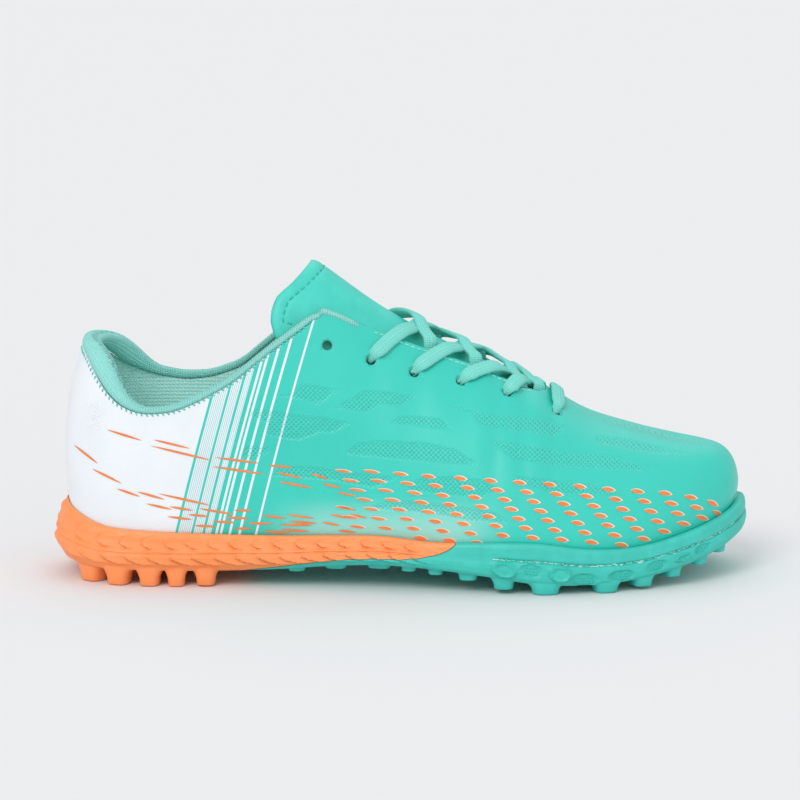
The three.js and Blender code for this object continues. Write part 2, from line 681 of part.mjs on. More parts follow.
// Top and bottom of a lug. Under the waist it stays below the heel unit
function lugHeights(x, drop, unit) {
  const under = underHeight(rowAt(x));
  const last = HEEL_UNIT_LINE[HEEL_UNIT_LINE.length - 1];
  const covered = unit === 'fore' && x < last.at * LENGTH;
  const limit = covered ? tableHeight(HEEL_UNIT_LINE, 'height', x) * EDGE_HEIGHT - 2 * CLEARANCE : Infinity;
  return { top: Math.min(under + LUG_ROOT, limit), bottom: under * (1 - drop) };
}

function lugsOf(unit) {
  const edge = EDGE_LUGS.filter((row) => row.unit === unit).flatMap((row) => [-1, 1].map((side) => {
    const u = rowAt(row.at * LENGTH);
    const point = outlinePoint(u, side, -row.inset * LUG_SIZE);
    const normal = outlineNormal(u, side);
    const { top, bottom } = lugHeights(row.at * LENGTH, row.drop, unit);
    const turn = Math.atan2(normal.y, normal.x) + Math.PI / 2;
    return lug(point.x, point.y, turn, top, bottom, row.long, row.wide, ROUND_SIDES);
  }));
  const inner = INNER_STUDS.filter((row) => row.unit === unit).flatMap((row) => [-1, 1].map((side) => {
    const x = row.at * LENGTH;
    const y = centreLine(rowAt(x)) + side * row.side * BALL_WIDTH;
    const { top, bottom } = lugHeights(x, row.drop, unit);
    return lug(x, y, 0, top, bottom, row.size, row.size, STUD_SIDES);
  }));
  return [...edge, ...inner];
}

function pods() {
  return PODS.flatMap((row) => [-1, 1].map((side) => {
    const u = rowAt(row.at * LENGTH);
    const centre = soleRing(u, side, { rise: row.rise, heel: 0, fore: POD_SEAT });
    const normal = outlineNormal(u, side);
    const geometry = new THREE.SphereGeometry(1, ROUND_SIDES, ROUND_SIDES / 2);
    geometry.scale(row.long * LUG_SIZE / 2, POD_DEPTH, row.high * LUG_SIZE / 2);
    geometry.rotateZ(Math.atan2(normal.y, normal.x) + Math.PI / 2);
    return placed(geometry, new THREE.Matrix4().makeTranslation(centre.x, centre.y, centre.z));
  }));
}

const addAll = (base, pieces) => pieces.reduce((sum, piece) => sum.add(piece), base);

function heelSoleSolid(block) {
  return addAll(block.intersect(heelRegion(0)), lugsOf('heel'));
}

function outsoleSolid(block) {
  return addAll(block.subtract(heelRegion(CLEARANCE)), [...lugsOf('fore'), ...pods()]);
}

// Section of a lace, in shares of LACE_WIDTH and LACE_THICKNESS
const LACE_SECTION = [[-0.5, 0], [-0.3, -0.5], [0.3, -0.5], [0.5, 0], [0.3, 0.5], [-0.3, 0.5]];

// A flat lace with rounded edges along a line of places on the last
function laceSolid(path) {
  const centres = path.map(({ u, v, out }) => onLast(u, v, out));
  const points = centres.flatMap((centre, k) => {
    const next = centres[Math.min(k + 1, centres.length - 1)];
    const tangent = next.clone().sub(centres[Math.max(k - 1, 0)]).normalize();
    const normal = lastNormal(path[k].u, path[k].v);
    const across = tangent.clone().cross(normal).normalize();
    normal.copy(across.clone().cross(tangent));
    return LACE_SECTION.map(([w, t]) =>
      centre.clone().addScaledVector(across, w * LACE_WIDTH).addScaledVector(normal, t * LACE_THICKNESS));
  });
  const count = LACE_SECTION.length;
  const last = (centres.length - 1) * count;
  const triangles = [];
  for (let i = 0; i < centres.length - 1; i += 1) {
    for (let j = 0; j < count; j += 1) {
      const a = i * count + j;
      const b = i * count + (j + 1) % count;
      triangles.push([a, b + count, b], [a, a + count, b + count]);
    }
  }
  for (let j = 1; j < count - 1; j += 1) triangles.push([0, j, j + 1], [last, last + j + 1, last + j]);
  return solidFrom(points, triangles);
}

// One strand of a crossing: out of an eyelet, over the edge of the throat, and down under the other edge,
// ahead of the next eyelet towards the toe by a lead
function strand(from, to, side, lead) {
  const start = lastPoint(from.u, from.v);
  const end = lastPoint(to.u, to.v);
  end.x += lead;
  const path = [];
  const [dipStart, dipEnd] = STRAND_DIP.map((share) => share * LACE_WIDTH);
  for (let k = 0; k <= LACE_STEPS; k += 1) {
    const x = THREE.MathUtils.lerp(start.x, end.x, STRAND_REACH * k / LACE_STEPS);
    const y = THREE.MathUtils.lerp(start.y, end.y, STRAND_REACH * k / LACE_STEPS);
    const sunk = THREE.MathUtils.smoothstep(side * (throatEdge(x, side) - y), dipStart, dipEnd);
    path.push({ ...placeOnLast(x, y), out: THREE.MathUtils.lerp(LACE_ABOVE, LACE_BELOW, sunk) });
  }
  return laceSolid(path);
}

function laceCross(k) {
  const [lateral, medial] = [-1, 1].map(eyeletPlaces);
  const lead = k > 1 ? STRAND_LEAD : 0;
  return strand(lateral[k], medial[k - 1], -1, lead).add(strand(medial[k], lateral[k - 1], 1, lead));
}

// The straight bar over the lowest pair of eyelets
function laceBar() {
  const [start, end] = [-1, 1].map((side) => eyeletPlaces(side)[0]).map(({ u, v }) => lastPoint(u, v));
  const path = [];
  for (let k = 0; k <= LACE_STEPS; k += 1) {
    const y = THREE.MathUtils.lerp(start.y, end.y, k / LACE_STEPS);
    path.push({ ...placeOnLast(start.x, y), out: LACE_ABOVE });
  }
  return laceSolid(path);
}

const surface = (color, roughness) => new THREE.MeshStandardMaterial({ color, roughness, metalness: 0 });
const tealRubber = () => surface(0x43cdbf, 0.5);
const orangeRubber = () => surface(0xff9c63, 0.5);
const coatedKnit = () => surface(0x4fd6c6, 0.6);
const cuffKnit = () => surface(0x7fe3d3, 0.9);
const grainedLeather = () => surface(0x35b8a8, 0.55);
const liningFoam = () => surface(0x86e2d4, 0.95);
const laceWeave = () => surface(0x76d0c0, 0.85);

function meshOf(name, solid, material) {
  const { vertProperties, triVerts } = solid.getMesh();
  const geometry = new THREE.BufferGeometry();
  geometry.setAttribute('position', new THREE.Float32BufferAttribute(vertProperties, 3));
  geometry.setIndex(Array.from(triVerts));
  const mesh = new THREE.Mesh(geometry, material);
  mesh.name = name;
  return mesh;
}

const block = soleBlock();
const shoe = new THREE.Group();
shoe.add(meshOf('outsole', outsoleSolid(block), tealRubber()));
shoe.add(meshOf('heel_sole', heelSoleSolid(block), orangeRubber()));
shoe.add(meshOf('upper', upperSolid(), coatedKnit()));
shoe.add(meshOf('collar', collarSolid(), cuffKnit()));
shoe.add(meshOf('tongue', tongueSolid(), grainedLeather()));
shoe.add(meshOf('insole', insoleSolid(), liningFoam()));
shoe.add(meshOf('lace_bar', laceBar(), laceWeave()));
for (let k = 1; k < EYELETS.length - 1; k += 1) {
  shoe.add(meshOf(`lace_cross_${k}`, laceCross(k), laceWeave()));
}

// The origin is on the ground under the middle of the shoe
const box = new THREE.Box3().setFromObject(shoe);
const middle = box.getCenter(new THREE.Vector3());
shoe.position.set(-middle.x, -middle.y, -box.min.z);

export default shoe;
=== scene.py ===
# A right football shoe for artificial turf: a printed knit upper with a padded cuff and a grained tongue,
# laced over two rubber units, an orange one round the heel and a teal one under the forefoot.
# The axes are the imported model's: metres, +Z up, toe towards +X and the outer side towards -Y.
import itertools
import math

import bpy
import numpy as np
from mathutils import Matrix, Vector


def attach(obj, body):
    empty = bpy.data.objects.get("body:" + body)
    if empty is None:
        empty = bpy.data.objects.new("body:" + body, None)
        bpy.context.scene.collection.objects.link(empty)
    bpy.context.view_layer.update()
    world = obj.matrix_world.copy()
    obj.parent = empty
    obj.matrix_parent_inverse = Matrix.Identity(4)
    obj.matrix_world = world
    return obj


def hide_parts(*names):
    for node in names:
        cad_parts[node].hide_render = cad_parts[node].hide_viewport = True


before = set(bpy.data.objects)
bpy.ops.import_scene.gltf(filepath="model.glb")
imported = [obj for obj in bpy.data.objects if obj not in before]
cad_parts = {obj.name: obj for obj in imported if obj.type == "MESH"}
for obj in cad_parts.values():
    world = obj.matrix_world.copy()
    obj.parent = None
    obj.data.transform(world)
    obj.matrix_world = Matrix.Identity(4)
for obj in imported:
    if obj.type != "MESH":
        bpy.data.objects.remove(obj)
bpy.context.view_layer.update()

# The upper: one hollow shell of coated knit, 2 mm thick, pulled over a last and glued down into the sole.
# Its outside is printed, with a white heel, slanted stripes and embossed scales. Its inside is knit lining.
LENGTH = 0.275
BALL_WIDTH = 0.094
HEEL_WIDTH = 0.066
HEEL_HEIGHT = 0.096
SIDE_HEIGHT = 0.070
INSTEP_HEIGHT = 0.106
TONGUE_HEIGHT = 0.126
TOE_HEIGHT = 0.054
HEEL_FULL_HEIGHT = 0.050
HEEL_LEAN = 0.009
HEEL_TUCK = 0.0034
FLOOR_HEIGHT = 0.014
EDGE_HEIGHT = 0.020
LUG_HEIGHT = 0.0064
TOE_SPRING = 0.014
EDGE_TUCK = 0.004
TUCK_HEIGHT = 0.014
WALL = 0.002
SHOE_MIDDLE = np.array([0.13769, -0.00133, 0.0])
MM = 0.001

# Rows of the last from heel to toe: place along the shoe, width in use, half widths on the outer and inner
# side, place of the ridge, middle line, height in use, height of the ridge, and fullness of the section
LAST_ROWS = np.array([
    [0.0153, HEEL_WIDTH, 0, 0, 0.164, 0, HEEL_HEIGHT, 1.56, 5],
    [0.029, HEEL_WIDTH, 0.242, 0.242, 0.171, 0, HEEL_HEIGHT, 1.56, 4.2],
    [0.073, HEEL_WIDTH, 0.41, 0.41, 0.189, 0, HEEL_HEIGHT, 1.56, 3.2],
    [0.145, HEEL_WIDTH, 0.485, 0.477, 0.211, 0, HEEL_HEIGHT, 1.56, 2.4],
    [0.236, HEEL_WIDTH, 0.492, 0.47, 0.262, 0.01, HEEL_HEIGHT, 1.54, 2.1],
    [0.327, HEEL_WIDTH, 0.508, 0.435, 0.327, 0.02, TONGUE_HEIGHT, 1.103, 2],
    [0.4, HEEL_WIDTH, 0.545, 0.43, 0.4, 0.03, TONGUE_HEIGHT, 0.994, 2],
    [0.473, BALL_WIDTH, 0.42, 0.32, 0.473, 0.03, INSTEP_HEIGHT, 1.045, 1.85],
    [0.545, BALL_WIDTH, 0.463, 0.365, 0.545, 0.035, INSTEP_HEIGHT, 0.934, 1.82],
    [0.618, BALL_WIDTH, 0.5, 0.425, 0.618, 0.04, INSTEP_HEIGHT, 0.84, 1.85],
    [0.691, BALL_WIDTH, 0.516, 0.473, 0.691, 0.045, INSTEP_HEIGHT, 0.722, 1.95],
    [0.764, BALL_WIDTH, 0.495, 0.484, 0.764, 0.045, TOE_HEIGHT, 1.185, 2.1],
    [0.836, BALL_WIDTH, 0.431, 0.447, 0.832, 0.05, TOE_HEIGHT, 1.065, 2.3],
    [0.904, BALL_WIDTH, 0.33, 0.372, 0.875, 0.055, TOE_HEIGHT, 1, 2.5],
    [0.952, BALL_WIDTH, 0.207, 0.282, 0.894, 0.06, TOE_HEIGHT, 0.968, 2.8],
    [0.98, BALL_WIDTH, 0.085, 0.191, 0.904, 0.063, TOE_HEIGHT, 0.95, 3.1],
    [0.99, BALL_WIDTH, -0.065, 0.065, 0.908, 0.065, TOE_HEIGHT, 0.945, 3.4],
])
# Floor inside, rubber edge outside and underside at the same rows, and the share of TOE_SPRING in all three
SOLE_ROWS = np.array([
    [1, 1.5, 1.35, 0], [1, 1.37, 1.2, 0], [1, 1.14, 1.02, 0], [1, 1.08, 1, 0], [1.02, 1.03, 1, 0],
    [1.06, 1.01, 1.13, 0], [1.09, 1.04, 1.4, 0], [1.1, 1.06, 1.55, 0], [1.04, 0.98, 1.42, 0],
    [0.9, 1, 1.1, 0], [0.77, 1, 0.66, 0], [0.73, 0.86, 0.52, 0.01], [0.76, 0.8, 0.56, 0.09],
    [0.8, 0.83, 0.65, 0.3], [0.78, 0.83, 0.72, 0.55], [0.76, 0.8, 0.75, 0.8], [0.74, 0.8, 0.77, 0.93],
])
(ROW_PLACE, ROW_WIDTH, ROW_OUTER, ROW_INNER, ROW_RIDGE_PLACE, ROW_MIDDLE, ROW_HEIGHT, ROW_RIDGE,
 ROW_FULLNESS) = LAST_ROWS.T
FLOOR, EDGE, UNDERSIDE, SPRING = SOLE_ROWS.T
LAST_ROW = len(LAST_ROWS) - 1
OUTER = -1
INNER = 1
SIDES = (OUTER, INNER)
HALVINGS = 30
MERGE_DISTANCE = 0.00002


def smooth(value, start, end):
    share = np.clip((value - start) / (end - start), 0, 1)
    return share * share * (3 - 2 * share)


def mix(start, end, share):
    return start + (end - start) * share


def unit(vectors):
    return vectors / np.linalg.norm(vectors, axis=-1, keepdims=True)


def found_between(low, high, still_low):
    """Where, between low and high, still_low stops being true, found by halving."""
    for _ in range(HALVINGS):
        half = (low + high) / 2
        under = still_low(half)
        low, high = np.where(under, half, low), np.where(under, high, half)
    return high


def along(values, other_side, u):
    """Smooth curve through the rows, which come back on the other side past the heel and the toe."""
    rows = np.concatenate([other_side[:0:-1], values, other_side[-2::-1]])
    first = np.floor(u).astype(int)
    t = u - first
    before, start, end, after = (rows[first + LAST_ROW + step] for step in (-1, 0, 1, 2))
    slope_start = (end - before) / 2
    slope_end = (after - start) / 2
    return ((2 * t**3 - 3 * t**2 + 1) * start + (t**3 - 2 * t**2 + t) * slope_start
            + (3 * t**2 - 2 * t**3) * end + (t**3 - t**2) * slope_end)


def across_both(values, u):
    """The same, for values that both sides share."""
    return along(values, values, u)


def station(u):
    return across_both(ROW_PLACE * LENGTH, u)


def middle_line(u):
    return across_both(ROW_MIDDLE * BALL_WIDTH, u)


def side_line(u, side):
    outer, inner = -ROW_OUTER * ROW_WIDTH, ROW_INNER * ROW_WIDTH
    return np.where(np.asarray(side) < 0, along(outer, inner, u), along(inner, outer, u))


def sole_height(u, level, unit_height):
    """Height of the floor inside, the edge or the underside, with the lift of the toe."""
    return across_both(level * unit_height, u) + across_both(SPRING, u) * TOE_SPRING


def heel_lean(x, z):
    above = np.minimum(z, 1.05 * HEEL_HEIGHT) - HEEL_FULL_HEIGHT
    upper_lean = HEEL_LEAN * (above / (HEEL_HEIGHT - HEEL_FULL_HEIGHT)) ** 2
    lower_lean = HEEL_TUCK * (above / (HEEL_FULL_HEIGHT - FLOOR_HEIGHT)) ** 2
    return np.where(above > 0, upper_lean, lower_lean) * (1 - smooth(x, 0.03 * LENGTH, 0.26 * LENGTH))


def last_point(u, v):
    """Point of the last: u over the rows from heel to toe, v from -1 outside over the ridge to 1 inside."""
    u, v = np.broadcast_arrays(np.asarray(u, float), np.asarray(v, float))
    angle = (1 - np.abs(v)) * math.pi / 2
    power = across_both(ROW_FULLNESS, u)
    flat = np.maximum(np.cos(angle), 0)
    steep = np.maximum(np.sin(angle), 0)
    reach = (flat**power + steep**power) ** (-1 / power)
    floor = sole_height(u, FLOOR, FLOOR_HEIGHT)
    ridge = across_both(ROW_RIDGE * ROW_HEIGHT, u)
    z = floor + (ridge - floor) * reach * steep
    ridge_x = across_both(ROW_RIDGE_PLACE * LENGTH, u)
    ridge_y = middle_line(u)
    spread_x = station(u) - ridge_x
    spread_y = side_line(u, v) - ridge_y
    tuck = EDGE_TUCK * np.maximum(0, 1 - (z - floor) / TUCK_HEIGHT) ** 2
    spread = reach * flat - tuck / np.hypot(spread_x, spread_y)
    x = ridge_x + spread_x * spread
    return np.stack([x + heel_lean(x, z), ridge_y + spread_y * spread, z], axis=-1)


def last_normal(u, v):
    forward = last_point(u + 0.02, v) - last_point(u - 0.02, v)
    over = last_point(u, np.minimum(v + 0.01, 1)) - last_point(u, np.maximum(v - 0.01, -1))
    return unit(np.cross(forward, over))


def on_last(u, v, out):
    return last_point(u, v) + last_normal(u, v) * np.asarray(out)[..., None] - SHOE_MIDDLE


def row_at(x):
    """Row number at a place along the shoe."""
    steps = np.linspace(0, LAST_ROW, 4001)
    return np.interp(x, station(steps), steps)


# Place along the shoe, height in use, and shares of it: the collar's top edge on the outer and the inner
# side, and the lower edge of its binding on both
COLLAR_ROWS = np.array([
    [-0.1, HEEL_HEIGHT, 1, 1, 0.955, 0.955], [0.045, HEEL_HEIGHT, 1, 1, 0.955, 0.955],
    [0.07, HEEL_HEIGHT, 0.975, 0.98, 0.83, 0.88], [0.092, HEEL_HEIGHT, 0.89, 0.95, 0.755, 0.83],
    [0.115, SIDE_HEIGHT, 1.045, 1.22, 0.985, 1.1], [0.14, SIDE_HEIGHT, 1, 1.115, 0.965, 1.06],
    [0.18, SIDE_HEIGHT, 1.02, 1.08, 0.98, 1.03], [0.22, SIDE_HEIGHT, 1.09, 1.085, 1.045, 1.045],
    [0.265, INSTEP_HEIGHT, 0.785, 0.76, 0.755, 0.73], [0.305, INSTEP_HEIGHT, 0.87, 0.85, 0.84, 0.82],
    [0.345, INSTEP_HEIGHT, 0.945, 0.94, 0.915, 0.91], [0.375, INSTEP_HEIGHT, 1, 1, 0.97, 0.97],
    [0.395, INSTEP_HEIGHT, 1, 1, 1.02, 1.02], [0.42, INSTEP_HEIGHT, 1.4, 1.4, 1.4, 1.4],
    [1.1, INSTEP_HEIGHT, 1.4, 1.4, 1.4, 1.4],
])
TOP_EDGE = 2
BINDING_EDGE = 4
COLLAR_ROUNDING = 0.012
# Edge of the throat: place along the shoe, and share of the way from the middle line out to the side
THROAT_ROWS = np.array([
    [0.335, 0.62], [0.385, 0.573], [0.435, 0.514], [0.475, 0.452], [0.545, 0.391], [0.618, 0.352],
    [0.67, 0.32], [0.697, 0.258], [0.708, 0.152], [0.712, 0],
])
# Six eyelets of a side from the toe upwards, placed in the same way
EYELET_ROWS = np.array([
    [0.722, 0.384], [0.651, 0.452], [0.585, 0.518], [0.519, 0.582], [0.458, 0.641], [0.396, 0.706],
])
EYELET_DIAMETER = 0.0044


def collar_line(x, y, edge):
    """Height of the collar's top edge or of its binding's lower edge, rounded off along the shoe."""
    places = x[..., None] / LENGTH + np.linspace(-COLLAR_ROUNDING, COLLAR_ROUNDING, 7)
    heights = COLLAR_ROWS[:, 1:2] * COLLAR_ROWS[:, edge:edge + 2]
    outer, inner = (np.interp(places, COLLAR_ROWS[:, 0], height).mean(axis=-1) for height in heights.T)
    return mix(outer, inner, smooth(y, -0.15 * HEEL_WIDTH, 0.15 * HEEL_WIDTH))


def collar_edge(u, side, edge, lower=0.0):
    """How far over the last, as v without its sign, the shoe reaches up to a line round the collar."""
    def above(over):
        x, y, z = np.moveaxis(last_point(u, side * over), -1, 0)
        return z > collar_line(x, y, edge) - lower

    return found_between(0, 1, above)


def over_at_share(u, share):
    """How far over the last, as v without its sign, a share of the way from the middle line out lies."""
    power = across_both(ROW_FULLNESS, u)

    def short(over):
        angle = (1 - over) * math.pi / 2
        reach = (np.cos(angle) ** power + np.sin(angle) ** power) ** (-1 / power)
        return reach * np.cos(angle) <= share

    return found_between(0, 1, short)


def throat_over(u):
    places = station(u) / LENGTH
    share = np.interp(places, THROAT_ROWS[:, 0], THROAT_ROWS[:, 1])
    return np.where(places > THROAT_ROWS[-1, 0], 0.0, over_at_share(u, share))


def eyelet_places(side):
    u = row_at(EYELET_ROWS[:, 0] * LENGTH)
    return u, side * over_at_share(u, EYELET_ROWS[:, 1])


def keep_number(piece, name, values):
    layer = piece.data.attributes.new(name, "FLOAT", "POINT")
    layer.data.foreach_set("value", np.asarray(values, float).reshape(-1))


def select_only(piece):
    bpy.ops.object.select_all(action="DESELECT")
    bpy.context.view_layer.objects.active = piece
    piece.select_set(True)


def cleaned(piece, merge=0.0, facing_out=True):
    """Merge corners nearer than merge, and turn the faces outwards, in edit mode."""
    select_only(piece)
    bpy.ops.object.mode_set(mode="EDIT")
    bpy.ops.mesh.select_all(action="SELECT")
    if merge:
        bpy.ops.mesh.remove_doubles(threshold=merge)
    if facing_out:
        bpy.ops.mesh.normals_make_consistent(inside=False)
    bpy.ops.object.mode_set(mode="OBJECT")
    return piece


def sheet_of(name, points, **numbers):
    """A grid whose vertices go to the given rows and columns of points, with equal points merged."""
    rows, columns = points.shape[:2]
    bpy.ops.object.select_all(action="DESELECT")
    bpy.ops.mesh.primitive_grid_add(x_subdivisions=columns - 1, y_subdivisions=rows - 1, size=1)
    piece = bpy.context.object
    piece.name = name
    piece.data.name = name
    piece.data.vertices.foreach_set("co", points.reshape(-1))
    piece.data.update()
    for number, values in numbers.items():
        keep_number(piece, number, values)
    cleaned(piece, MERGE_DISTANCE, False)
    bpy.ops.object.shade_smooth()
    return piece


def apply_modifier(piece, kind, **settings):
    select_only(piece)
    modifier = piece.modifiers.new(kind.title(), kind)
    for name, value in settings.items():
        setattr(modifier, name, value)
    bpy.ops.object.modifier_apply(modifier=modifier.name)


def points_of(piece):
    points = np.empty(len(piece.data.vertices) * 3)
    piece.data.vertices.foreach_get("co", points)
    return points.reshape(-1, 3)


def joined(name, pieces):
    bpy.ops.object.select_all(action="DESELECT")
    for piece in pieces:
        piece.select_set(True)
    bpy.context.view_layer.objects.active = pieces[0]
    bpy.ops.object.join()
    pieces[0].name = name
    pieces[0].data.name = name
    return pieces[0]


def finish_piece(piece, material, slot, *nodes):
    piece.data.materials.clear()
    piece.data.materials.append(material)
    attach(piece, "root")
    if nodes:
        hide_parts(*nodes)


def ink(code):
    """An sRGB hex colour as linear red, green, blue and alpha."""
    parts = [(code >> shift & 255) / 255 for shift in (16, 8, 0)]
    return [c / 12.92 if c <= 0.04045 else ((c + 0.055) / 1.055) ** 2.4 for c in parts] + [1.0]


def material_named(name, roughness, **values):
    made = bpy.data.materials.new(name)
    made.use_nodes = True
    for socket, value in {"Roughness": roughness, **values}.items():
        made.node_tree.nodes["Principled BSDF"].inputs[socket.replace("_", " ")].default_value = value
    return made


def add_node(material, kind, inputs, output=0, **settings):
    """Add a node with its settings and its inputs, which are numbers or other nodes' outputs."""
    made = material.node_tree.nodes.new("ShaderNode" + kind)
    for name, value in settings.items():
        setattr(made, name, value)
    for socket, value in inputs.items():
        if isinstance(value, bpy.types.NodeSocket):
            material.node_tree.links.new(value, made.inputs[socket])
        else:
            made.inputs[socket].default_value = value
    return made.outputs[output]


def dress(material, colour, bump):
    shader = material.node_tree.nodes["Principled BSDF"]
    material.node_tree.links.new(colour, shader.inputs["Base Color"])
    material.node_tree.links.new(bump, shader.inputs["Normal"])


UPPER_STATIONS = 224
UPPER_STEPS = 54
# Extra columns where the throat ends in a tight curve
throat_end = np.linspace(row_at(0.69 * LENGTH), row_at(0.716 * LENGTH), 26)
u_line = np.sort(np.concatenate([np.linspace(0, LAST_ROW, UPPER_STATIONS + 1), throat_end]))
edges = {side: np.maximum(collar_edge(u_line, side, BINDING_EDGE, 0.0002), throat_over(u_line))
         for side in SIDES}
share_up = np.linspace(0, 1, UPPER_STEPS + 1)[:, None]
outer_half = -(1 - share_up * (1 - edges[OUTER]))
inner_half = 1 - share_up[::-1] * (1 - edges[INNER])


# Troughs across the ball: place along the shoe, slant, depth in millimetres and width
FLEX_TROUGHS = ((0.63, 0.25, 0.5, 0.012), (0.672, 0.18, 0.55, 0.011), (0.715, 0.1, 0.4, 0.012))
HOLLOW_DEPTH = 0.9 * MM
PULL_HEIGHT = 0.25 * MM
PULL_PITCH = 0.0185


def crease_depth(points):
    """Soft troughs and ridges of the upper: flexing across the ball, pull below the lacing, heel hollow."""
    x = (points[..., 0] + SHOE_MIDDLE[0]) / LENGTH
    z = points[..., 2]
    flex = np.zeros_like(x)
    for place, slant, depth, width in FLEX_TROUGHS:
        middle = place + slant * (z - 0.05)
        flex -= depth * MM * np.exp(-((x - middle) / width) ** 2) * smooth(z, 0.026, 0.05)
    hollow = -HOLLOW_DEPTH * np.exp(-((x - 0.33) / 0.11) ** 2 - ((z - 0.046) / 0.016) ** 2)
    pull = PULL_HEIGHT * np.sin(x * LENGTH / PULL_PITCH * 2 * math.pi) * np.exp(-((x - 0.55) / 0.13) ** 2)
    return flex + hollow + pull * smooth(z, 0.05, 0.075)


def sheet_points(u, v):
    base = on_last(u, v, np.zeros(np.broadcast(u, v).shape))
    return base + last_normal(u, v) * crease_depth(base)[..., None]


halves = (("upper_outer_side", outer_half), ("upper_inner_side", inner_half))
upper = joined("upper_shell", [sheet_of(name, sheet_points(u_line[None, :] + 0 * half, half))
                               for name, half in halves])
cleaned(upper, 0.00005, False)
# Coated knit: a thin matt film over knit, printed and embossed, which gives a soft leather-like shine
coated_knit = material_named("coated_printed_knit", 0.4, Specular_IOR_Level=0.45, Coat_Weight=0.12,
                             Coat_Roughness=0.3)
# Knit lining: a soft ribbed mesh that scatters light and has no shine
lining_knit = material_named("ribbed_lining_knit", 0.95, Specular_IOR_Level=0.2)
upper.data.materials.append(coated_knit)
upper.data.materials.append(lining_knit)
apply_modifier(upper, "SOLIDIFY", thickness=WALL, offset=-1, use_even_offset=True, material_offset=1)


def stand_at(piece, u, v, place):
    """Turn a piece square to the last's surface and put it at a place."""
    turn = Vector(last_normal(u, v)).to_track_quat("Z", "Y").to_matrix().to_4x4()
    piece.data.transform(Matrix.Translation(place) @ turn)


cutters = []
for side in SIDES:
    for u, v in zip(*eyelet_places(side)):
        bpy.ops.mesh.primitive_cylinder_add(vertices=24, radius=EYELET_DIAMETER / 2, depth=4 * WALL)
        cutters.append(bpy.context.object)
        stand_at(cutters[-1], u, v, on_last(u, v, 0))
holes = joined("eyelet_cutters", cutters)
apply_modifier(upper, "BOOLEAN", operation="DIFFERENCE", object=holes, solver="EXACT")
bpy.data.objects.remove(holes)


# The view of the photograph. The print is measured in its pixels and carried onto the shoe from there
CAMERA_TARGET = np.array([0, 0, 0.05])
CAMERA_DISTANCE = 1.4
CAMERA_AZIMUTH = math.radians(0.25)
CAMERA_ELEVATION = math.radians(10.5)
CAMERA_ROLL = math.radians(-0.125)
IMAGE_WIDTH = 800
PIXELS_PER_METRE = 2521
TARGET_PIXEL = np.array([402, 445.1])
ahead = np.array([-math.sin(CAMERA_AZIMUTH) * math.cos(CAMERA_ELEVATION),
                  math.cos(CAMERA_AZIMUTH) * math.cos(CAMERA_ELEVATION), -math.sin(CAMERA_ELEVATION)])
rightward = np.array([math.cos(CAMERA_AZIMUTH), math.sin(CAMERA_AZIMUTH), 0])
upward = np.cross(rightward, ahead)


def photo_place(points, side):
    """Pixel of the photograph that shows a point. The inner side has the outer side's print mirrored."""
    offset = points * np.where(np.asarray(side)[..., None] > 0, [1, -1, 1], [1, 1, 1]) - CAMERA_TARGET
    scale = CAMERA_DISTANCE * PIXELS_PER_METRE / (CAMERA_DISTANCE + offset @ ahead)
    across, up = scale * (offset @ rightward), scale * (offset @ upward)
    return np.stack([TARGET_PIXEL[0] + across, TARGET_PIXEL[1] - up], axis=-1)


search_u, search_v = np.meshgrid(np.linspace(0, LAST_ROW, 321), np.linspace(0.02, 1, 99), indexing="ij")


def on_upper(u, v, out):
    base = on_last(u, v, 0 * u)
    return base + last_normal(u, v) * (crease_depth(base) + out)[..., None]


def under_pixels(pixels, side, out):
    """Points on the upper, a little outside it, under given pixels of the photograph."""
    def seen_at(u, v):
        return photo_place(on_upper(u, v, 0 * u), side + 0 * u)

    flat = pixels.reshape(-1, 2)
    seen = seen_at(search_u, side * search_v).reshape(-1, 2)
    nearest = np.array([np.argmin(((seen - pixel) ** 2).sum(axis=1)) for pixel in flat])
    u, v = search_u.reshape(-1)[nearest], side * search_v.reshape(-1)[nearest]
    for _ in range(5):
        here = seen_at(u, v)
        by_u, by_v = (seen_at(u + 0.01, v) - here) / 0.01, (seen_at(u, v + 0.003) - here) / 0.003
        miss = flat - here
        size = by_u[:, 0] * by_v[:, 1] - by_u[:, 1] * by_v[:, 0]
        size = np.where(np.abs(size) < 1, 1, size)
        step_u = (miss[:, 0] * by_v[:, 1] - miss[:, 1] * by_v[:, 0]) / size
        step_v = (by_u[:, 0] * miss[:, 1] - by_u[:, 1] * miss[:, 0]) / size
        u = u + np.clip(step_u, -0.3, 0.3)
        v = np.clip(v + np.clip(step_v, -0.05, 0.05), -1, 1)
    return on_upper(u, v, out + 0 * u).reshape(pixels.shape[:-1] + (3,))


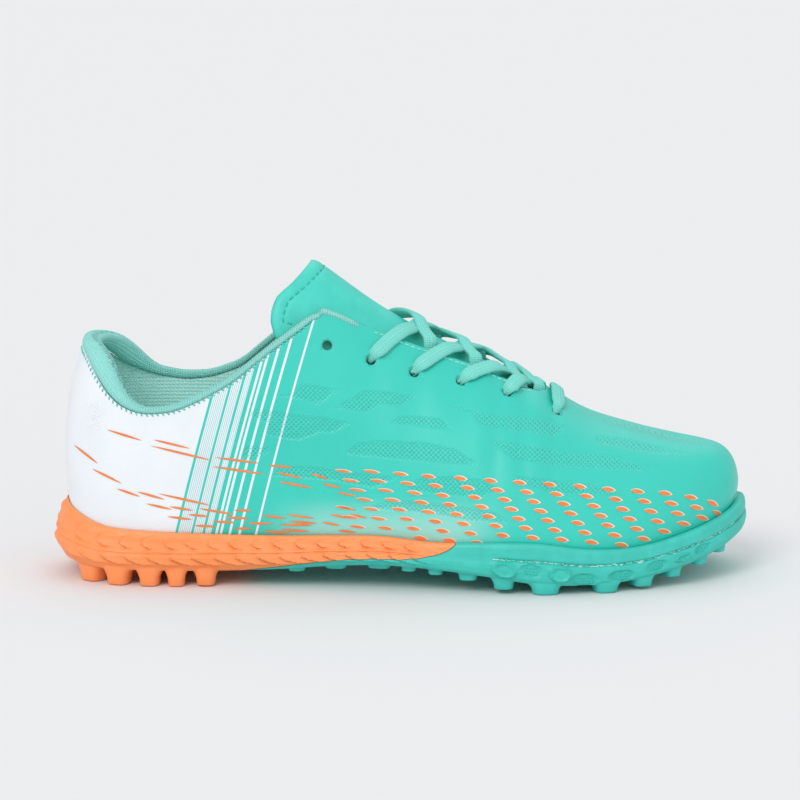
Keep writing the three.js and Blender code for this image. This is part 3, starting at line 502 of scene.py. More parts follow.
# Embossed panels of fine dimples, as outlines in pixels of the photograph
SCALE_PANELS = [
    [(267, 395), (294, 394), (299, 386), (306, 384), (340, 390), (332, 394), (318, 405), (302, 399)],
    [(334, 408), (367, 390), (389, 392), (417, 397), (399, 406), (381, 404), (366, 413), (351, 410)],
    [(247, 411), (268, 410), (294, 415), (326, 418), (350, 423), (332, 433), (319, 432), (299, 440),
     (282, 438), (265, 434), (268, 423), (251, 416)],
    [(389, 424), (401, 416), (421, 417), (442, 419), (453, 430), (429, 428), (410, 425)],
    [(343, 454), (358, 443), (383, 441), (426, 443), (456, 450), (480, 466), (437, 463), (389, 458)],
    [(270, 475), (283, 467), (307, 466), (342, 472), (362, 474), (399, 477), (373, 488), (358, 485),
     (332, 480)],
    [(405, 490), (420, 478), (453, 477), (480, 480), (499, 489), (480, 498), (445, 495), (420, 492)],
    [(367, 508), (389, 501), (421, 502), (480, 510), (495, 513), (511, 523), (470, 521), (430, 514),
     (400, 511)],
    [(240, 458), (247, 446), (273, 448), (255, 461)],
    [(444, 402), (482, 413), (499, 415), (535, 418), (567, 427), (556, 436), (523, 432), (482, 427),
     (472, 414)],
    [(488, 440), (518, 443), (556, 451), (609, 456), (662, 472), (619, 470), (565, 467), (514, 460),
     (501, 450)],
    [(511, 476), (548, 480), (590, 485), (628, 496), (590, 495), (556, 494), (518, 484)],
    [(596, 436), (630, 440), (691, 455), (651, 453), (598, 443)],
    [(603, 420), (651, 429), (704, 445), (672, 441), (609, 424)],
]


def inside_depth(places, outline):
    """Distance from the outline in pixels, positive inside it."""
    corners = np.array(outline, float)
    inside = np.zeros(len(places), bool)
    distance = np.full(len(places), 1e9)
    for start, end in zip(corners, np.roll(corners, -1, axis=0)):
        edge = end - start
        share = np.clip(((places - start) @ edge) / (edge @ edge), 0, 1)
        distance = np.minimum(distance, np.linalg.norm(places - start - share[:, None] * edge, axis=1))
        crosses = (start[1] > places[:, 1]) != (end[1] > places[:, 1])
        at_x = start[0] + (places[:, 1] - start[1]) * edge[0] / (edge[1] if edge[1] else 1e-9)
        inside ^= crosses & (places[:, 0] < at_x)
    return np.where(inside, distance, -distance)


# The print is kept on the upper as numbers: the place over the slanted stripes, the depth inside an embossed
# panel, the place in the picture in millimetres, the pale fade above the sole and the grey smudge of the heel
STRIPE_FOOT = 534
STRIPE_SLANT = 0.2395
STRIPE_BOW = 0.00015
points = points_of(upper)
place = photo_place(points, np.sign(points[:, 1] - 0.001))
height_up = STRIPE_FOOT - place[:, 1]
fade = smooth(place[:, 1], 492, 532) * smooth(place[:, 0], 250, 330) * (1 - smooth(place[:, 0], 440, 520))
PRINT_NUMBERS = {
    "stripe_place": place[:, 0] - STRIPE_SLANT * height_up - STRIPE_BOW * height_up**2,
    "panel_depth": np.max([inside_depth(place, outline) for outline in SCALE_PANELS], axis=0),
    "print_x": place[:, 0] / (PIXELS_PER_METRE * MM), "print_z": -place[:, 1] / (PIXELS_PER_METRE * MM),
    "fade": fade, "smudge": np.exp(-(((place[:, 0] - 95) / 12) ** 2 + ((place[:, 1] - 415) / 16) ** 2)),
}
for name, values in PRINT_NUMBERS.items():
    keep_number(upper, name, values)


def set_ramp(ramp, stops):
    """Bands of plain colour, each from its own place on."""
    ramp.color_ramp.interpolation = "CONSTANT"
    elements = ramp.color_ramp.elements
    for place, _ in stops[2:]:
        elements.new(place)
    for element, (place, colour) in zip(elements, stops):
        element.position = place
        element.color = colour


TEAL_FILM = ink(0x33CEBD)
WHITE_FILM = ink(0xEEF3F8)
FINE_LINES = ink(0x9ED4D6)
FINE_LINE_PITCH = 1.9
STRIPE_START, STRIPE_END = 170, 260
# Places where white and teal change over, from the white heel forwards, and where fields of fine lines start
# and end, in pixels of the photograph at the foot of the stripes
STRIPE_EDGES = [170, 174.4, 176.8, 190.4, 192.8, 201.8, 204.2, 210.4, 214.6, 216.8, 219.2, 221.4, 228, 230.2,
                237.8, 240, 254.6, 256.8]
FINE_EDGES = [170, 176.8, 190.4, 192.8, 201.8, 204.2, 210.4]


def bands(edges, colours):
    """Stops of a ramp over the stripes, taking two colours in turn."""
    return [((edge - STRIPE_START) / (STRIPE_END - STRIPE_START), colours[k % 2])
            for k, edge in enumerate(edges)]


kept = {name: add_node(coated_knit, "Attribute", {}, "Fac", attribute_name=name) for name in PRINT_NUMBERS}
stripe_share = add_node(coated_knit, "MapRange", {"Value": kept["stripe_place"], "From Min": STRIPE_START,
                                                  "From Max": STRIPE_END})
stripes = add_node(coated_knit, "ValToRGB", {"Fac": stripe_share})
set_ramp(stripes.node, bands(STRIPE_EDGES, (WHITE_FILM, TEAL_FILM)))
fine = add_node(coated_knit, "ValToRGB", {"Fac": stripe_share})
set_ramp(fine.node, bands(FINE_EDGES, ([0, 0, 0, 1], [1, 1, 1, 1])))
# Fine lines, 0.75 mm apart
fine_wave = add_node(coated_knit, "Math", {0: kept["stripe_place"], 1: 2 * math.pi / FINE_LINE_PITCH},
                     operation="MULTIPLY")
fine_sine = add_node(coated_knit, "Math", {0: fine_wave}, operation="SINE")
fine_cut = add_node(coated_knit, "MapRange", {"Value": fine_sine, "From Min": 0.1, "From Max": 0.6})
fine_mask = add_node(coated_knit, "Math", {0: fine_cut, 1: fine}, operation="MULTIPLY")
lined = add_node(coated_knit, "Mix", {0: fine_mask, 6: stripes, 7: FINE_LINES}, 2, data_type="RGBA")
# A cloudy change of tone some 17 mm across, and the pale fade above the sole
on_object = add_node(coated_knit, "TexCoord", {}, "Object")
mottle = add_node(coated_knit, "TexNoise", {"Vector": on_object, "Scale": 60, "Detail": 4}, "Fac")
mottle_share = add_node(coated_knit, "MapRange", {"Value": mottle, "From Min": 0.3, "From Max": 0.7,
                                                   "To Max": 0.16})
shaded = add_node(coated_knit, "Mix", {0: mottle_share, 6: lined, 7: ink(0xD4DEDC)}, 2, data_type="RGBA",
                  blend_type="MULTIPLY")
faded_share = add_node(coated_knit, "Math", {0: kept["fade"], 1: 0.42}, operation="MULTIPLY")
faded = add_node(coated_knit, "Mix", {0: faded_share, 6: shaded, 7: ink(0xD8F1EC)}, 2, data_type="RGBA")
# Dust of the smudge: specks of about half a millimetre
dust = add_node(coated_knit, "TexNoise", {"Vector": on_object, "Scale": 2200, "Detail": 6}, "Fac")
dust_cut = add_node(coated_knit, "MapRange", {"Value": dust, "From Min": 0.48, "From Max": 0.66,
                                               "To Max": 0.5})
dust_mask = add_node(coated_knit, "Math", {0: dust_cut, 1: kept["smudge"]}, operation="MULTIPLY")
dusted = add_node(coated_knit, "Mix", {0: dust_mask, 6: faded, 7: ink(0xB9B4A2)}, 2, data_type="RGBA")
# Dimples of the embossed panels: domes 1.35 mm apart on a diamond grid, in a slightly sunk field that is
# painted paler as painted light, offsetting the shade of the bump
DIMPLE_PITCH = 1.35
print_place = add_node(coated_knit, "CombineXYZ", {0: kept["print_x"], 1: kept["print_z"]})
turned = add_node(coated_knit, "Mapping", {"Vector": print_place, "Rotation": (0, 0, math.radians(45))})
dimples = add_node(coated_knit, "TexVoronoi", {"Vector": turned, "Scale": 1 / DIMPLE_PITCH,
                                                "Randomness": 0.12}, "Distance", voronoi_dimensions="2D")
dimple_dome = add_node(coated_knit, "MapRange", {"Value": dimples, "From Min": 0.05, "From Max": 0.45,
                                                 "To Min": 1.0, "To Max": 0.0})
panel_mask = add_node(coated_knit, "MapRange", {"Value": kept["panel_depth"], "From Min": -1.2,
                                                 "From Max": 1.6})
dimple_height = add_node(coated_knit, "Math", {0: dimple_dome, 1: panel_mask}, operation="MULTIPLY")
# Painted light: the panels' field is mixed towards a paler teal to lift the darkening that the dimples' bump
# gives it
panel_painted_light = add_node(coated_knit, "Math", {0: panel_mask, 1: 0.22}, operation="MULTIPLY")
dimpled = add_node(coated_knit, "Mix", {0: panel_painted_light, 6: dusted, 7: ink(0x58E4D4)}, 2, data_type="RGBA")
# Grain of the film, 0.7 mm across
grain = add_node(coated_knit, "TexNoise", {"Vector": on_object, "Scale": 1500, "Detail": 3}, "Fac")
grain_bump = add_node(coated_knit, "Bump", {"Height": grain, "Strength": 0.5, "Distance": 0.0002})
pressed = add_node(coated_knit, "Math", {0: panel_mask, 1: -0.9, 2: dimple_height}, operation="MULTIPLY_ADD")
dimple_bump = add_node(coated_knit, "Bump", {"Height": pressed, "Normal": grain_bump, "Strength": 0.85,
                                             "Distance": 0.0005})
dress(coated_knit, dimpled, dimple_bump)


STITCH_RELIEF = 0.0004


def knit_ribs(material, light, dark, pitch, strength, on_run=False):
    """Rows of stitches a pitch apart, on Object coordinates or on numbers kept along and round a band, with
    painted shade.
    """
    place, directions, shares = add_node(material, "TexCoord", {}, "Object"), ("DIAGONAL", "Z"), (1.7, 0.9)
    if on_run:
        numbers = {k: add_node(material, "Attribute", {}, "Fac", attribute_name=name)
                   for k, name in enumerate(("run", "around"))}
        place, directions, shares = add_node(material, "CombineXYZ", numbers), ("X", "Y"), (1, 1.25)
    waves = [add_node(material, "TexWave", {"Vector": place, "Scale": math.pi / 10 / pitch * share,
                                            "Distortion": 0.7, "Detail": 1},
                      "Fac", wave_type="BANDS", bands_direction=direction)
             for direction, share in zip(directions, shares)]
    knots = add_node(material, "Math", {0: waves[0], 1: waves[1], 2: 0.3}, operation="MULTIPLY_ADD")
    # Painted light and shade: the colour follows the stitches' height, the light colour on the ridges and the
    # dark one in the troughs
    colour = add_node(material, "Mix", {0: knots, 6: ink(dark), 7: ink(light)}, 2, data_type="RGBA")
    bump = add_node(material, "Bump", {"Height": knots, "Strength": strength, "Distance": STITCH_RELIEF})
    dress(material, colour, bump)
    return material


def speckled(name, roughness, light, dark, size, strength):
    """A material with a slight cloudy change of colour and a fine grain of the given size in metres."""
    material = material_named(name, roughness)
    place = add_node(material, "TexCoord", {}, "Object")
    cloud = add_node(material, "TexNoise", {"Vector": place, "Scale": 0.09 / size, "Detail": 4}, "Fac")
    share = add_node(material, "MapRange", {"Value": cloud, "From Min": 0.3, "From Max": 0.7})
    colour = add_node(material, "Mix", {0: share, 6: ink(dark), 7: ink(light)}, 2, data_type="RGBA")
    grain = add_node(material, "TexNoise", {"Vector": place, "Scale": 1 / size, "Detail": 3}, "Fac")
    bump = add_node(material, "Bump", {"Height": grain, "Strength": strength, "Distance": size / 4})
    dress(material, colour, bump)
    return material


# Lining colours: lit ridges, and painted shade in the troughs between its ribs
knit_ribs(lining_knit, 0xDCFFFA, 0xAFF3E8, pitch=0.0013, strength=0.7)
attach(upper, "root")
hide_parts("upper")

# The print's orange marks: screen-printed ink, streaks over the heel and rows of small lozenges along the
# ball and the toe, thinning out towards the heel unit. Each lozenge has a pale rim, a painted highlight.
SOLE_EDGE_LINE = np.array([
    [60, 500], [88, 518], [136, 531], [193, 535], [385, 535], [433, 543], [466, 546], [515, 543],
    [569, 550], [600, 553], [641, 548], [682, 536], [722, 516], [743, 488],
])
TOP_ROW = np.array([
    [343, 471], [371, 471.5], [400, 474], [428, 476.5], [460, 478.6], [490, 481], [519, 483], [549, 485],
    [579, 487], [608, 490], [637, 492], [664.5, 494], [690, 498], [712, 504], [726, 513],
])
ROW_STEP = np.array([7.0, 9.5])
ROWS = 8
# Streaks: start and end in pixels of the photograph
STREAKS = np.array([
    [107, 429, 142, 440], [74, 444, 98, 463], [153, 439, 190, 448], [150, 445, 212, 460],
    [92, 468, 122, 483], [117, 488, 140, 496], [137, 491, 165, 499], [158, 493, 211, 505],
    [146, 503, 172, 509], [169, 506, 193, 510], [188, 514, 209, 516], [167, 516, 192, 519],
    [199, 508, 234, 514], [213, 521, 236, 522], [194, 525, 216, 526], [225, 517, 250, 518],
    [234, 528, 252, 528], [234, 510, 252, 510], [215, 457, 260, 463], [212, 466, 266, 474],
    [268, 465, 293, 467], [276, 472, 303, 478], [278, 481, 313, 488], [310, 473, 329, 479],
    [322, 483, 341, 488], [337, 492, 357, 496], [338, 506, 356, 510], [262, 515, 286, 518],
    [286, 514, 314, 518], [289, 521, 317, 523], [279, 524, 313, 525], [246, 523, 273, 523],
    [281, 529, 309, 531], [263, 531, 291, 532], [330, 514, 349, 518], [322, 522, 340, 525],
    [338, 530, 356, 532], [350, 514, 367, 518],
])


def mesh_piece(name, vertices, faces):
    mesh = bpy.data.meshes.new(name)
    mesh.from_pydata(vertices.reshape(-1, 3).tolist(), [], faces)
    piece = bpy.data.objects.new(name, mesh)
    bpy.context.collection.objects.link(piece)
    return piece


def marks(name, starts, ends, widths, lift, fullness, steps=7):
    """Flat marks, pointed at both ends, that lie on both sides of the upper."""
    share = np.linspace(0, 1, steps)[:, None]
    half = (np.sin(math.pi * share) ** fullness)[None] * widths[:, None, None] / 2
    line = mix(starts[:, None], ends[:, None], share[None])
    direction = unit(ends - starts)
    sideways = np.stack([-direction[:, 1], direction[:, 0]], axis=1)[:, None]
    grid = np.stack([line + half * sideways, line, line - half * sideways], axis=1)
    corners = [(k * 3 + row) * steps + column for k in range(len(grid)) for row in range(2)
               for column in range(steps - 1)]
    quads = [(corner, corner + 1, corner + steps + 1, corner + steps) for corner in corners]
    pieces = [mesh_piece(name, under_pixels(grid, side, lift),
                         quads if side == OUTER else [quad[::-1] for quad in quads])
              for side in SIDES]
    made = cleaned(joined(name, pieces), MERGE_DISTANCE, False)
    bpy.ops.object.shade_smooth()
    return made


def above_sole(places, room):
    return places[:, 1] < np.interp(places[:, 0], SOLE_EDGE_LINE[:, 0], SOLE_EDGE_LINE[:, 1]) - room


# Towards the toe each row shifts less along the shoe and lies a little lower; three more columns go on
# rearwards of the top row
REAR_STEP = np.array([28, 1.5])
lozenges = []
for row in range(ROWS + 1):
    for column, (x, y) in enumerate(TOP_ROW):
        narrowing = 1 - 0.06 * max(0, column - 9)
        drop = ROW_STEP[1] + 0.12 * max(0, column - 6)
        lozenges.append([x + ROW_STEP[0] * row * narrowing, y + drop * row])
    for column in range(1, 4):
        lozenges.append(TOP_ROW[0] - REAR_STEP * column + ROW_STEP * row)
lozenges = np.array(lozenges)
lozenges = lozenges[above_sole(lozenges, 1.5) & (lozenges[:, 0] > 341)]
# Long and thin at the rear, short and wide at the ball, and turned down round the toe
ahead_of_waist = smooth(lozenges[:, 0], 340, 470)
toe_turn = smooth(lozenges[:, 0], 690, 735)
mark_length = mix(17, 13.5, ahead_of_waist) * mix(1, 0.6, toe_turn)
mark_width = mix(3.0, 5.0, ahead_of_waist)
lean = np.stack([np.ones(len(lozenges)), mix(0.14, 0.17, ahead_of_waist) + 0.7 * toe_turn], axis=1)
half_mark = lean * (mark_length / 2)[:, None]
# Screen ink: thin opaque colour, a little matter than the film, with the knit's grain showing through
orange_ink = speckled("orange_screen_ink", 0.5, 0xF28F50, 0xE97B3C, size=0.0004, strength=0.3)
# The pale ink is a painted highlight: light caught on the rims of the lozenges
painted_highlight_ink = speckled("pale_rim_painted_highlight", 0.55, 0xF3E7D6, 0xE6D9C0, size=0.0004, strength=0.3)
PALE_LIFT = 0.00008
INK_LIFT = 0.00016
STREAK_WIDTH = 2.3
# Pale rims, set a little up and to the right of the orange, as painted highlight on the marks' upper right
# edges
rim_highlights_under = marks("pale_mark_rim_highlights", lozenges - half_mark * 1.05 + [0.5, -0.3],
                    lozenges + half_mark * 1.1 + [0.6, -0.2], mark_width * 1.08, PALE_LIFT, 0.75)
finish_piece(rim_highlights_under, painted_highlight_ink, "coated_knit")
dashes = marks("orange_lozenge_marks", lozenges - half_mark * 0.96, lozenges + half_mark * 0.94,
               mark_width * 0.86, INK_LIFT, 0.75)
finish_piece(dashes, orange_ink, "coated_knit")
streaks = marks("orange_streak_marks", STREAKS[:, :2], STREAKS[:, 2:], np.full(len(STREAKS), STREAK_WIDTH),
                INK_LIFT, 0.7, 13)
finish_piece(streaks, orange_ink, "coated_knit")


# Stitches and punched eyelets: thread laid in short stitches, and the pale cut edge of the knit in each hole
STITCH_RINGS = [[-0.5, 0.3, -0.9], [-0.4, 0.85, -0.1], [0, 1, 0.25], [0.4, 0.85, -0.1], [0.5, 0.3, -0.9]]
BEAD_RINGS = [[-0.4, 1, 0], [0.2, 0.95, 0], [0.75, 0.62, 0], [1, 0.2, 0]]


def repeated(name, rings, sides, places, axes):
    """Many copies of a small shape as one mesh. Its rings are given by place, radius and lift."""
    rings = np.asarray(rings, float)
    turn = np.linspace(0, 2 * math.pi, sides, endpoint=False)
    shape = np.stack([np.repeat(rings[:, 0], sides), np.outer(rings[:, 1], np.cos(turn)).ravel(),
                      (np.outer(rings[:, 1], np.sin(turn)) + rings[:, 2:3]).ravel()], axis=-1)
    corners = np.arange(len(shape)).reshape(len(rings), sides)
    one = [tuple(corners[0]), tuple(corners[-1])]
    for row, after in zip(corners, corners[1:]):
        one += list(zip(row, np.roll(row, -1), np.roll(after, -1), after))
    faces = [tuple(int(corner) + first for corner in face)
             for first in range(0, len(places) * len(shape), len(shape)) for face in one]
    piece = cleaned(mesh_piece(name, places[:, None] + shape @ axes, faces))
    bpy.ops.object.shade_smooth_by_angle(angle=math.radians(60))
    return piece


def run_along(line):
    """Distance along a line of points, at each of them."""
    return np.concatenate([[0], np.cumsum(np.linalg.norm(np.diff(line, axis=0), axis=1))])


def stitched(name, line, normals, pitch, length, radius, slant=0.0):
    """Stitches along a line that lies on a surface with the given normals."""
    run = run_along(line)
    at = np.arange(pitch, run[-1] - pitch, pitch)

    def between(values, where):
        return np.stack([np.interp(where, run, values[:, axis]) for axis in range(3)], axis=-1)

    up = unit(between(normals, at))
    forward = unit(between(line, at + pitch / 4) - between(line, at - pitch / 4))
    sideways = unit(np.cross(up, forward))
    forward = forward * math.cos(slant) + sideways * math.sin(slant)
    sideways = np.cross(up, forward)
    axes = np.stack([forward * length, sideways * radius, up * radius], axis=1)
    return repeated(name, STITCH_RINGS, 8, between(line, at), axes)


# Sewing thread: twisted polyester with a soft sheen, a little paler than the film
thread = speckled("polyester_sewing_thread", 0.6, 0xA9F0E6, 0x86DDD1, size=0.0003, strength=0.3)
stitch_u = np.linspace(row_at(0.456 * LENGTH), row_at(0.694 * LENGTH), 300)
edge_v = throat_over(stitch_u)
edge_span = np.linalg.norm(last_point(stitch_u, -edge_v - 0.01) - last_point(stitch_u, -edge_v), axis=-1)
edge_span /= 0.01
stitch_lines = []
for side in SIDES:
    v = side * (edge_v + 0.0016 / edge_span)
    line = on_upper(stitch_u, v, 0.00005)
    stitch_lines.append(stitched("throat_stitches", line, last_normal(stitch_u, v), pitch=0.0026,
                                 length=0.002, radius=0.00026))
finish_piece(joined("throat_edge_stitches", stitch_lines), thread, "coated_knit")
seam_u = np.linspace(row_at(0.37 * LENGTH), 0, 500)
seams = []
for side in SIDES:
    seam_v = side * (np.maximum(collar_edge(seam_u, side, BINDING_EDGE), throat_over(seam_u)) + 0.0025)
    line = on_upper(seam_u, seam_v, 0.0001)
    seams.append(stitched("cuff_seam", line, last_normal(seam_u, seam_v), pitch=0.0021, length=0.0014,
                          radius=0.0003, slant=side * 0.9))
# Overlock thread: fuzzy and matt, a shade darker than the cuff
seam_thread = speckled("cuff_overlock_thread", 0.7, 0x74D8CC, 0x4DB9AC, size=0.0003, strength=0.3)
finish_piece(joined("cuff_seam_stitches", seams), seam_thread, "cuff_knit")
rims = []
for side in SIDES:
    for u, v in zip(*eyelet_places(side)):
        bpy.ops.object.select_all(action="DESELECT")
        bpy.ops.mesh.primitive_torus_add(major_radius=EYELET_DIAMETER / 2 - 0.00005, minor_radius=0.00025,
                                         major_segments=32, minor_segments=10)
        rims.append(bpy.context.object)
        stand_at(rims[-1], u, v, on_upper(u, v, -0.0007))
        bpy.ops.object.shade_smooth()
# Cut knit: matt and fibrous, paler than the film
cut_edge = speckled("cut_knit_edge", 0.9, 0x9BD8CE, 0x6FB9AE, size=0.0003, strength=0.5)
finish_piece(joined("punched_eyelet_rims", rims), cut_edge, "coated_knit")


# The sole: two moulded rubber units cemented to the upper and to each other. The orange heel unit wraps the
# heel and runs forward to a point, the teal unit carries the waist and the forefoot. Lugs are part of both.
SOLE_FLARE = 0.0042
CLEARANCE = 0.0003
LUG_ROOT = 0.0015
# Side profile: height share from underside to edge, and flare of the heel and of the forefoot
SIDE_PROFILE = np.array([
    [0, 0.35, 0.3], [0.1, 0.62, 0.6], [0.28, 0.9, 0.7], [0.4, 1, 0.68], [0.5, 0.82, 0.62],
    [0.62, 0.7, 0.6], [0.7, 0.52, 0.6], [0.88, 0.36, 0.54], [0.97, 0.24, 0.42], [1, 0.1, 0.26],
])
# Line between the two units in the side view: place along the shoe and share of EDGE_HEIGHT
UNIT_LINE = np.array([
    [0.258, 0.28], [0.28, 0.34], [0.327, 0.42], [0.373, 0.525], [0.42, 0.615], [0.465, 0.65],
    [0.5, 0.655], [0.53, 0.7], [0.553, 0.775], [0.567, 0.87], [0.575, 0.96], [0.578, 1.05],
])
# Edge lugs: place, length, width, inset from the last, drop as a share of the room down to the ground
HEEL_LUGS = np.array([
    [0.05, 9, 9, 4, 1], [0.095, 8.4, 10, 3, 1], [0.141, 7.6, 10, 3, 1], [0.18, 6.6, 10, 3, 1],
    [0.222, 7.4, 10, 3, 0.95],
])
FORE_LUGS = np.array([
    [0.35, 6.4, 6, 4, 0.25], [0.405, 8, 6, 4, 0.2], [0.466, 8.6, 6, 4, 0.2], [0.508, 5.4, 6, 4, 0.25],
    [0.546, 5.4, 6, 4, 0.3], [0.592, 6.8, 7, 4, 0.4], [0.643, 7.6, 9, 3.5, 0.7],
    [0.703, 10.4, 10, 3.5, 1], [0.79, 9, 10, 3.5, 1], [0.843, 7.6, 9, 3.5, 0.75],
    [0.888, 6.2, 8, 3.5, 0.5], [0.93, 6, 7, 3.5, 0.35], [0.962, 5.4, 6, 3.5, 0.28],
])
# Studs in the middle: place, distance from the middle line as a share of BALL_WIDTH, size and drop
HEEL_STUDS = np.array([
    [0.075, 0.08, 8, 1], [0.125, 0.13, 7.5, 1], [0.175, 0.12, 7.5, 1], [0.215, 0.1, 7, 1],
])
FORE_STUDS = np.array([
    [0.6, 0.16, 7, 0.45], [0.655, 0.22, 7.5, 0.8], [0.68, 0.08, 7.5, 1], [0.73, 0.2, 8, 1],
    [0.76, 0.07, 8, 1], [0.81, 0.19, 7.5, 0.9], [0.84, 0.06, 7, 0.75], [0.89, 0.13, 6.5, 0.5],
    [0.935, 0.05, 6, 0.35],
])
# Ovals on the side of the forefoot: place, length, height in mm, height share, and 1 smooth or 0 beaded
SIDE_OVALS = np.array([
    [0.645, 10.2, 6.2, 0.3, 1], [0.682, 8, 4.4, 0.33, 0], [0.722, 9, 6, 0.32, 1],
    [0.755, 10, 5, 0.16, 0], [0.806, 9.8, 4.8, 0.2, 0], [0.856, 8, 4.4, 0.3, 0], [0.892, 6, 3, 0.34, 1],
    [0.922, 6, 3.4, 0.36, 0],
])
# Section of a lug: share of its height from the tread face, and half width
LUG_RINGS = np.array([
    [0, 0], [0, 0.43], [0.018, 0.468], [0.06, 0.49], [0.35, 0.52], [0.52, 0.57], [0.7, 0.66],
    [0.82, 0.76], [1, 0.84], [1, 0],
])
# Widest half width across the shoe, so that a lug's root stays under the side
LUG_HALF_WIDTH = 0.54
SCALE_PITCH = 0.0086
SCALE_RELIEF = 0.0016
GROOVE_SHARE = 0.56
GROOVE_DEPTH = 1.3 * MM
OVAL_RISE = 1.5 * MM
OVAL_CUP = 1.0 * MM
OVAL_SINK = 0.8 * MM
SOLE_STATIONS = 400
SOLE_RINGS = 34


def outline_normal(u, side):
    step = 0.02
    along_x = station(u + step) - station(u - step)
    along_y = side_line(u + step, side) - side_line(u - step, side)
    size = np.hypot(along_x, along_y)
    return -side * along_y / size, side * along_x / size


def outline_point(u, side, out):
    normal_x, normal_y = outline_normal(u, side)
    return station(u) + normal_x * out, side_line(u, side) + normal_y * out


def oval_share(place, rise, row):
    across = (place - row[0]) * LENGTH / (row[1] * MM / 2)
    up = (rise - row[3]) * (EDGE_HEIGHT - LUG_HEIGHT) / (row[2] * MM / 2)
    return np.hypot(across, up)


def side_relief(u, rise):
    """Moulded relief of the sole's side: overlapping scales on the heel, a groove and ovals in front."""
    # Two rows of curved scales meet at a ridge, the lower row set off by 0.4 of a scale
    place = station(u) / LENGTH
    run = place * LENGTH
    heel = 1 - smooth(place, 0.5, 0.56)
    ridge = 0.5 + 0.06 * smooth(place, 0.1, 0.3)
    upper_row = (run + 0.004 * np.sin((rise - ridge) * 9) + 0.016 * (rise - ridge)) / SCALE_PITCH
    lower_row = (run + 0.004 * np.sin((ridge - rise) * 8) - 0.02 * (ridge - rise)) / SCALE_PITCH + 0.4
    saw = np.where(rise > ridge, upper_row, lower_row) % 1
    overlap = (1 - saw) ** 0.9 * smooth(saw, 0, 0.09)
    row_window = (smooth(np.abs(rise - ridge), 0.02, 0.14) * smooth(rise, 0.12, 0.2)
                  * (1 - smooth(rise, 0.84, 0.93)))
    relief = heel * SCALE_RELIEF * (overlap * row_window + 0.7 * np.exp(-((rise - ridge) / 0.045) ** 2))
    groove = GROOVE_DEPTH * np.exp(-((rise - GROOVE_SHARE) / 0.035) ** 2) * smooth(place, 0.625, 0.65)
    relief = relief - groove
    for row in SIDE_OVALS:
        share = oval_share(place, rise, row)
        if row[4]:
            pad = OVAL_RISE * (1 - smooth(share, 0.86, 1.02))
            relief = relief + pad - OVAL_CUP * (1 - smooth(share, 0.5, 0.8))
        else:
            relief = relief - OVAL_SINK * (1 - smooth(share, 0.94, 1.08))
    return relief


def sole_side(u, rise, side, out=0.0):
    """Point of the sole's side at a share of the way from the underside to the edge."""
    forward = smooth(station(u), 0.3 * LENGTH, 0.62 * LENGTH)
    flare = mix(np.interp(rise, SIDE_PROFILE[:, 0], SIDE_PROFILE[:, 1]),
                np.interp(rise, SIDE_PROFILE[:, 0], SIDE_PROFILE[:, 2]), forward) * SOLE_FLARE
    x, y = outline_point(u, side, flare + side_relief(u, rise) + out)
    z = mix(sole_height(u, UNDERSIDE, LUG_HEIGHT), sole_height(u, EDGE, EDGE_HEIGHT), rise)
    return np.stack([x + heel_lean(x, z) * rise**3, y + 0 * z, z], axis=-1) - SHOE_MIDDLE


def sole_block():
    u = np.linspace(0, LAST_ROW, SOLE_STATIONS + 1)[None, :]
    rise = np.linspace(0, 1, SOLE_RINGS)[:, None]
    edge = sole_height(u, EDGE, EDGE_HEIGHT)
    halves = []
    for side in SIDES:
        rings = sole_side(u, rise, side)
        wall_top = found_between(0, 1, lambda over: last_point(u, side * over)[..., 2] > edge)
        down = np.linspace(0, 1, 6)[:, None]
        wall = on_last(u + 0 * down, side * mix(wall_top, 1, down), CLEARANCE + 0 * (u + down))
        wall[..., 2] = np.minimum(wall[..., 2], rings[-1][None, :, 2])
        halves.append(np.concatenate([rings, wall]))
    outer, inner = halves
    across = np.linspace(0, 1, 13)[1:-1, None, None]
    floor_inside = mix(outer[-1][None], inner[-1][None], across)
    underside = mix(inner[0][None], outer[0][None], across)
    loop = np.concatenate([outer, floor_inside, inner[::-1], underside, outer[:1]])
    return cleaned(sheet_of("sole_block", loop))


def unit_region(gap):
    """Everything above and behind the line between the units, as a solid right across the shoe."""
    step_x = UNIT_LINE[:, 0] * LENGTH + gap
    line_x = np.concatenate([[-0.1 * LENGTH, step_x[0] - 1e-5], step_x])
    line_z = np.concatenate([[-EDGE_HEIGHT, -EDGE_HEIGHT], UNIT_LINE[:, 1] * EDGE_HEIGHT - gap])
    upper_z = np.full_like(line_z, 2 * HEEL_HEIGHT)
    rows = np.stack([np.stack([line_x, 0 * line_x - BALL_WIDTH, z], axis=-1) for z in (line_z, upper_z)])
    region = sheet_of("unit_region", rows - SHOE_MIDDLE)
    bpy.ops.object.mode_set(mode="EDIT")
    bpy.ops.mesh.select_all(action="SELECT")
    bpy.ops.mesh.extrude_region_move(TRANSFORM_OT_translate={"value": (0, 2 * BALL_WIDTH, 0)})
    bpy.ops.object.mode_set(mode="OBJECT")
    return cleaned(region)


def cut_by(piece, region, operation):
    apply_modifier(piece, "BOOLEAN", operation=operation, object=region, solver="EXACT")
    bpy.data.objects.remove(region)
    return piece


def lug(x, y, turn, top, bottom, long, wide, corners=3.2):
    """A rubber block with rounded corners, a softened edge round its flat tread face and a wide root."""
    angle = np.linspace(0, 2 * math.pi, 33)
    reach = (np.abs(np.cos(angle)) ** corners + np.abs(np.sin(angle)) ** corners) ** (-1 / corners)
    radius = LUG_RINGS[:, 1:] * reach
    narrow = np.minimum(LUG_RINGS[:, 1:], LUG_HALF_WIDTH) * reach
    points = np.stack([radius * np.cos(angle) * long, narrow * np.sin(angle) * wide,
                       mix(bottom, top, LUG_RINGS[:, :1]) + 0 * radius], axis=-1)
    piece = sheet_of("lug", points)
    piece.data.transform(Matrix.Translation((x, y, 0)) @ Matrix.Rotation(turn, 4, "Z"))
    return cleaned(piece)


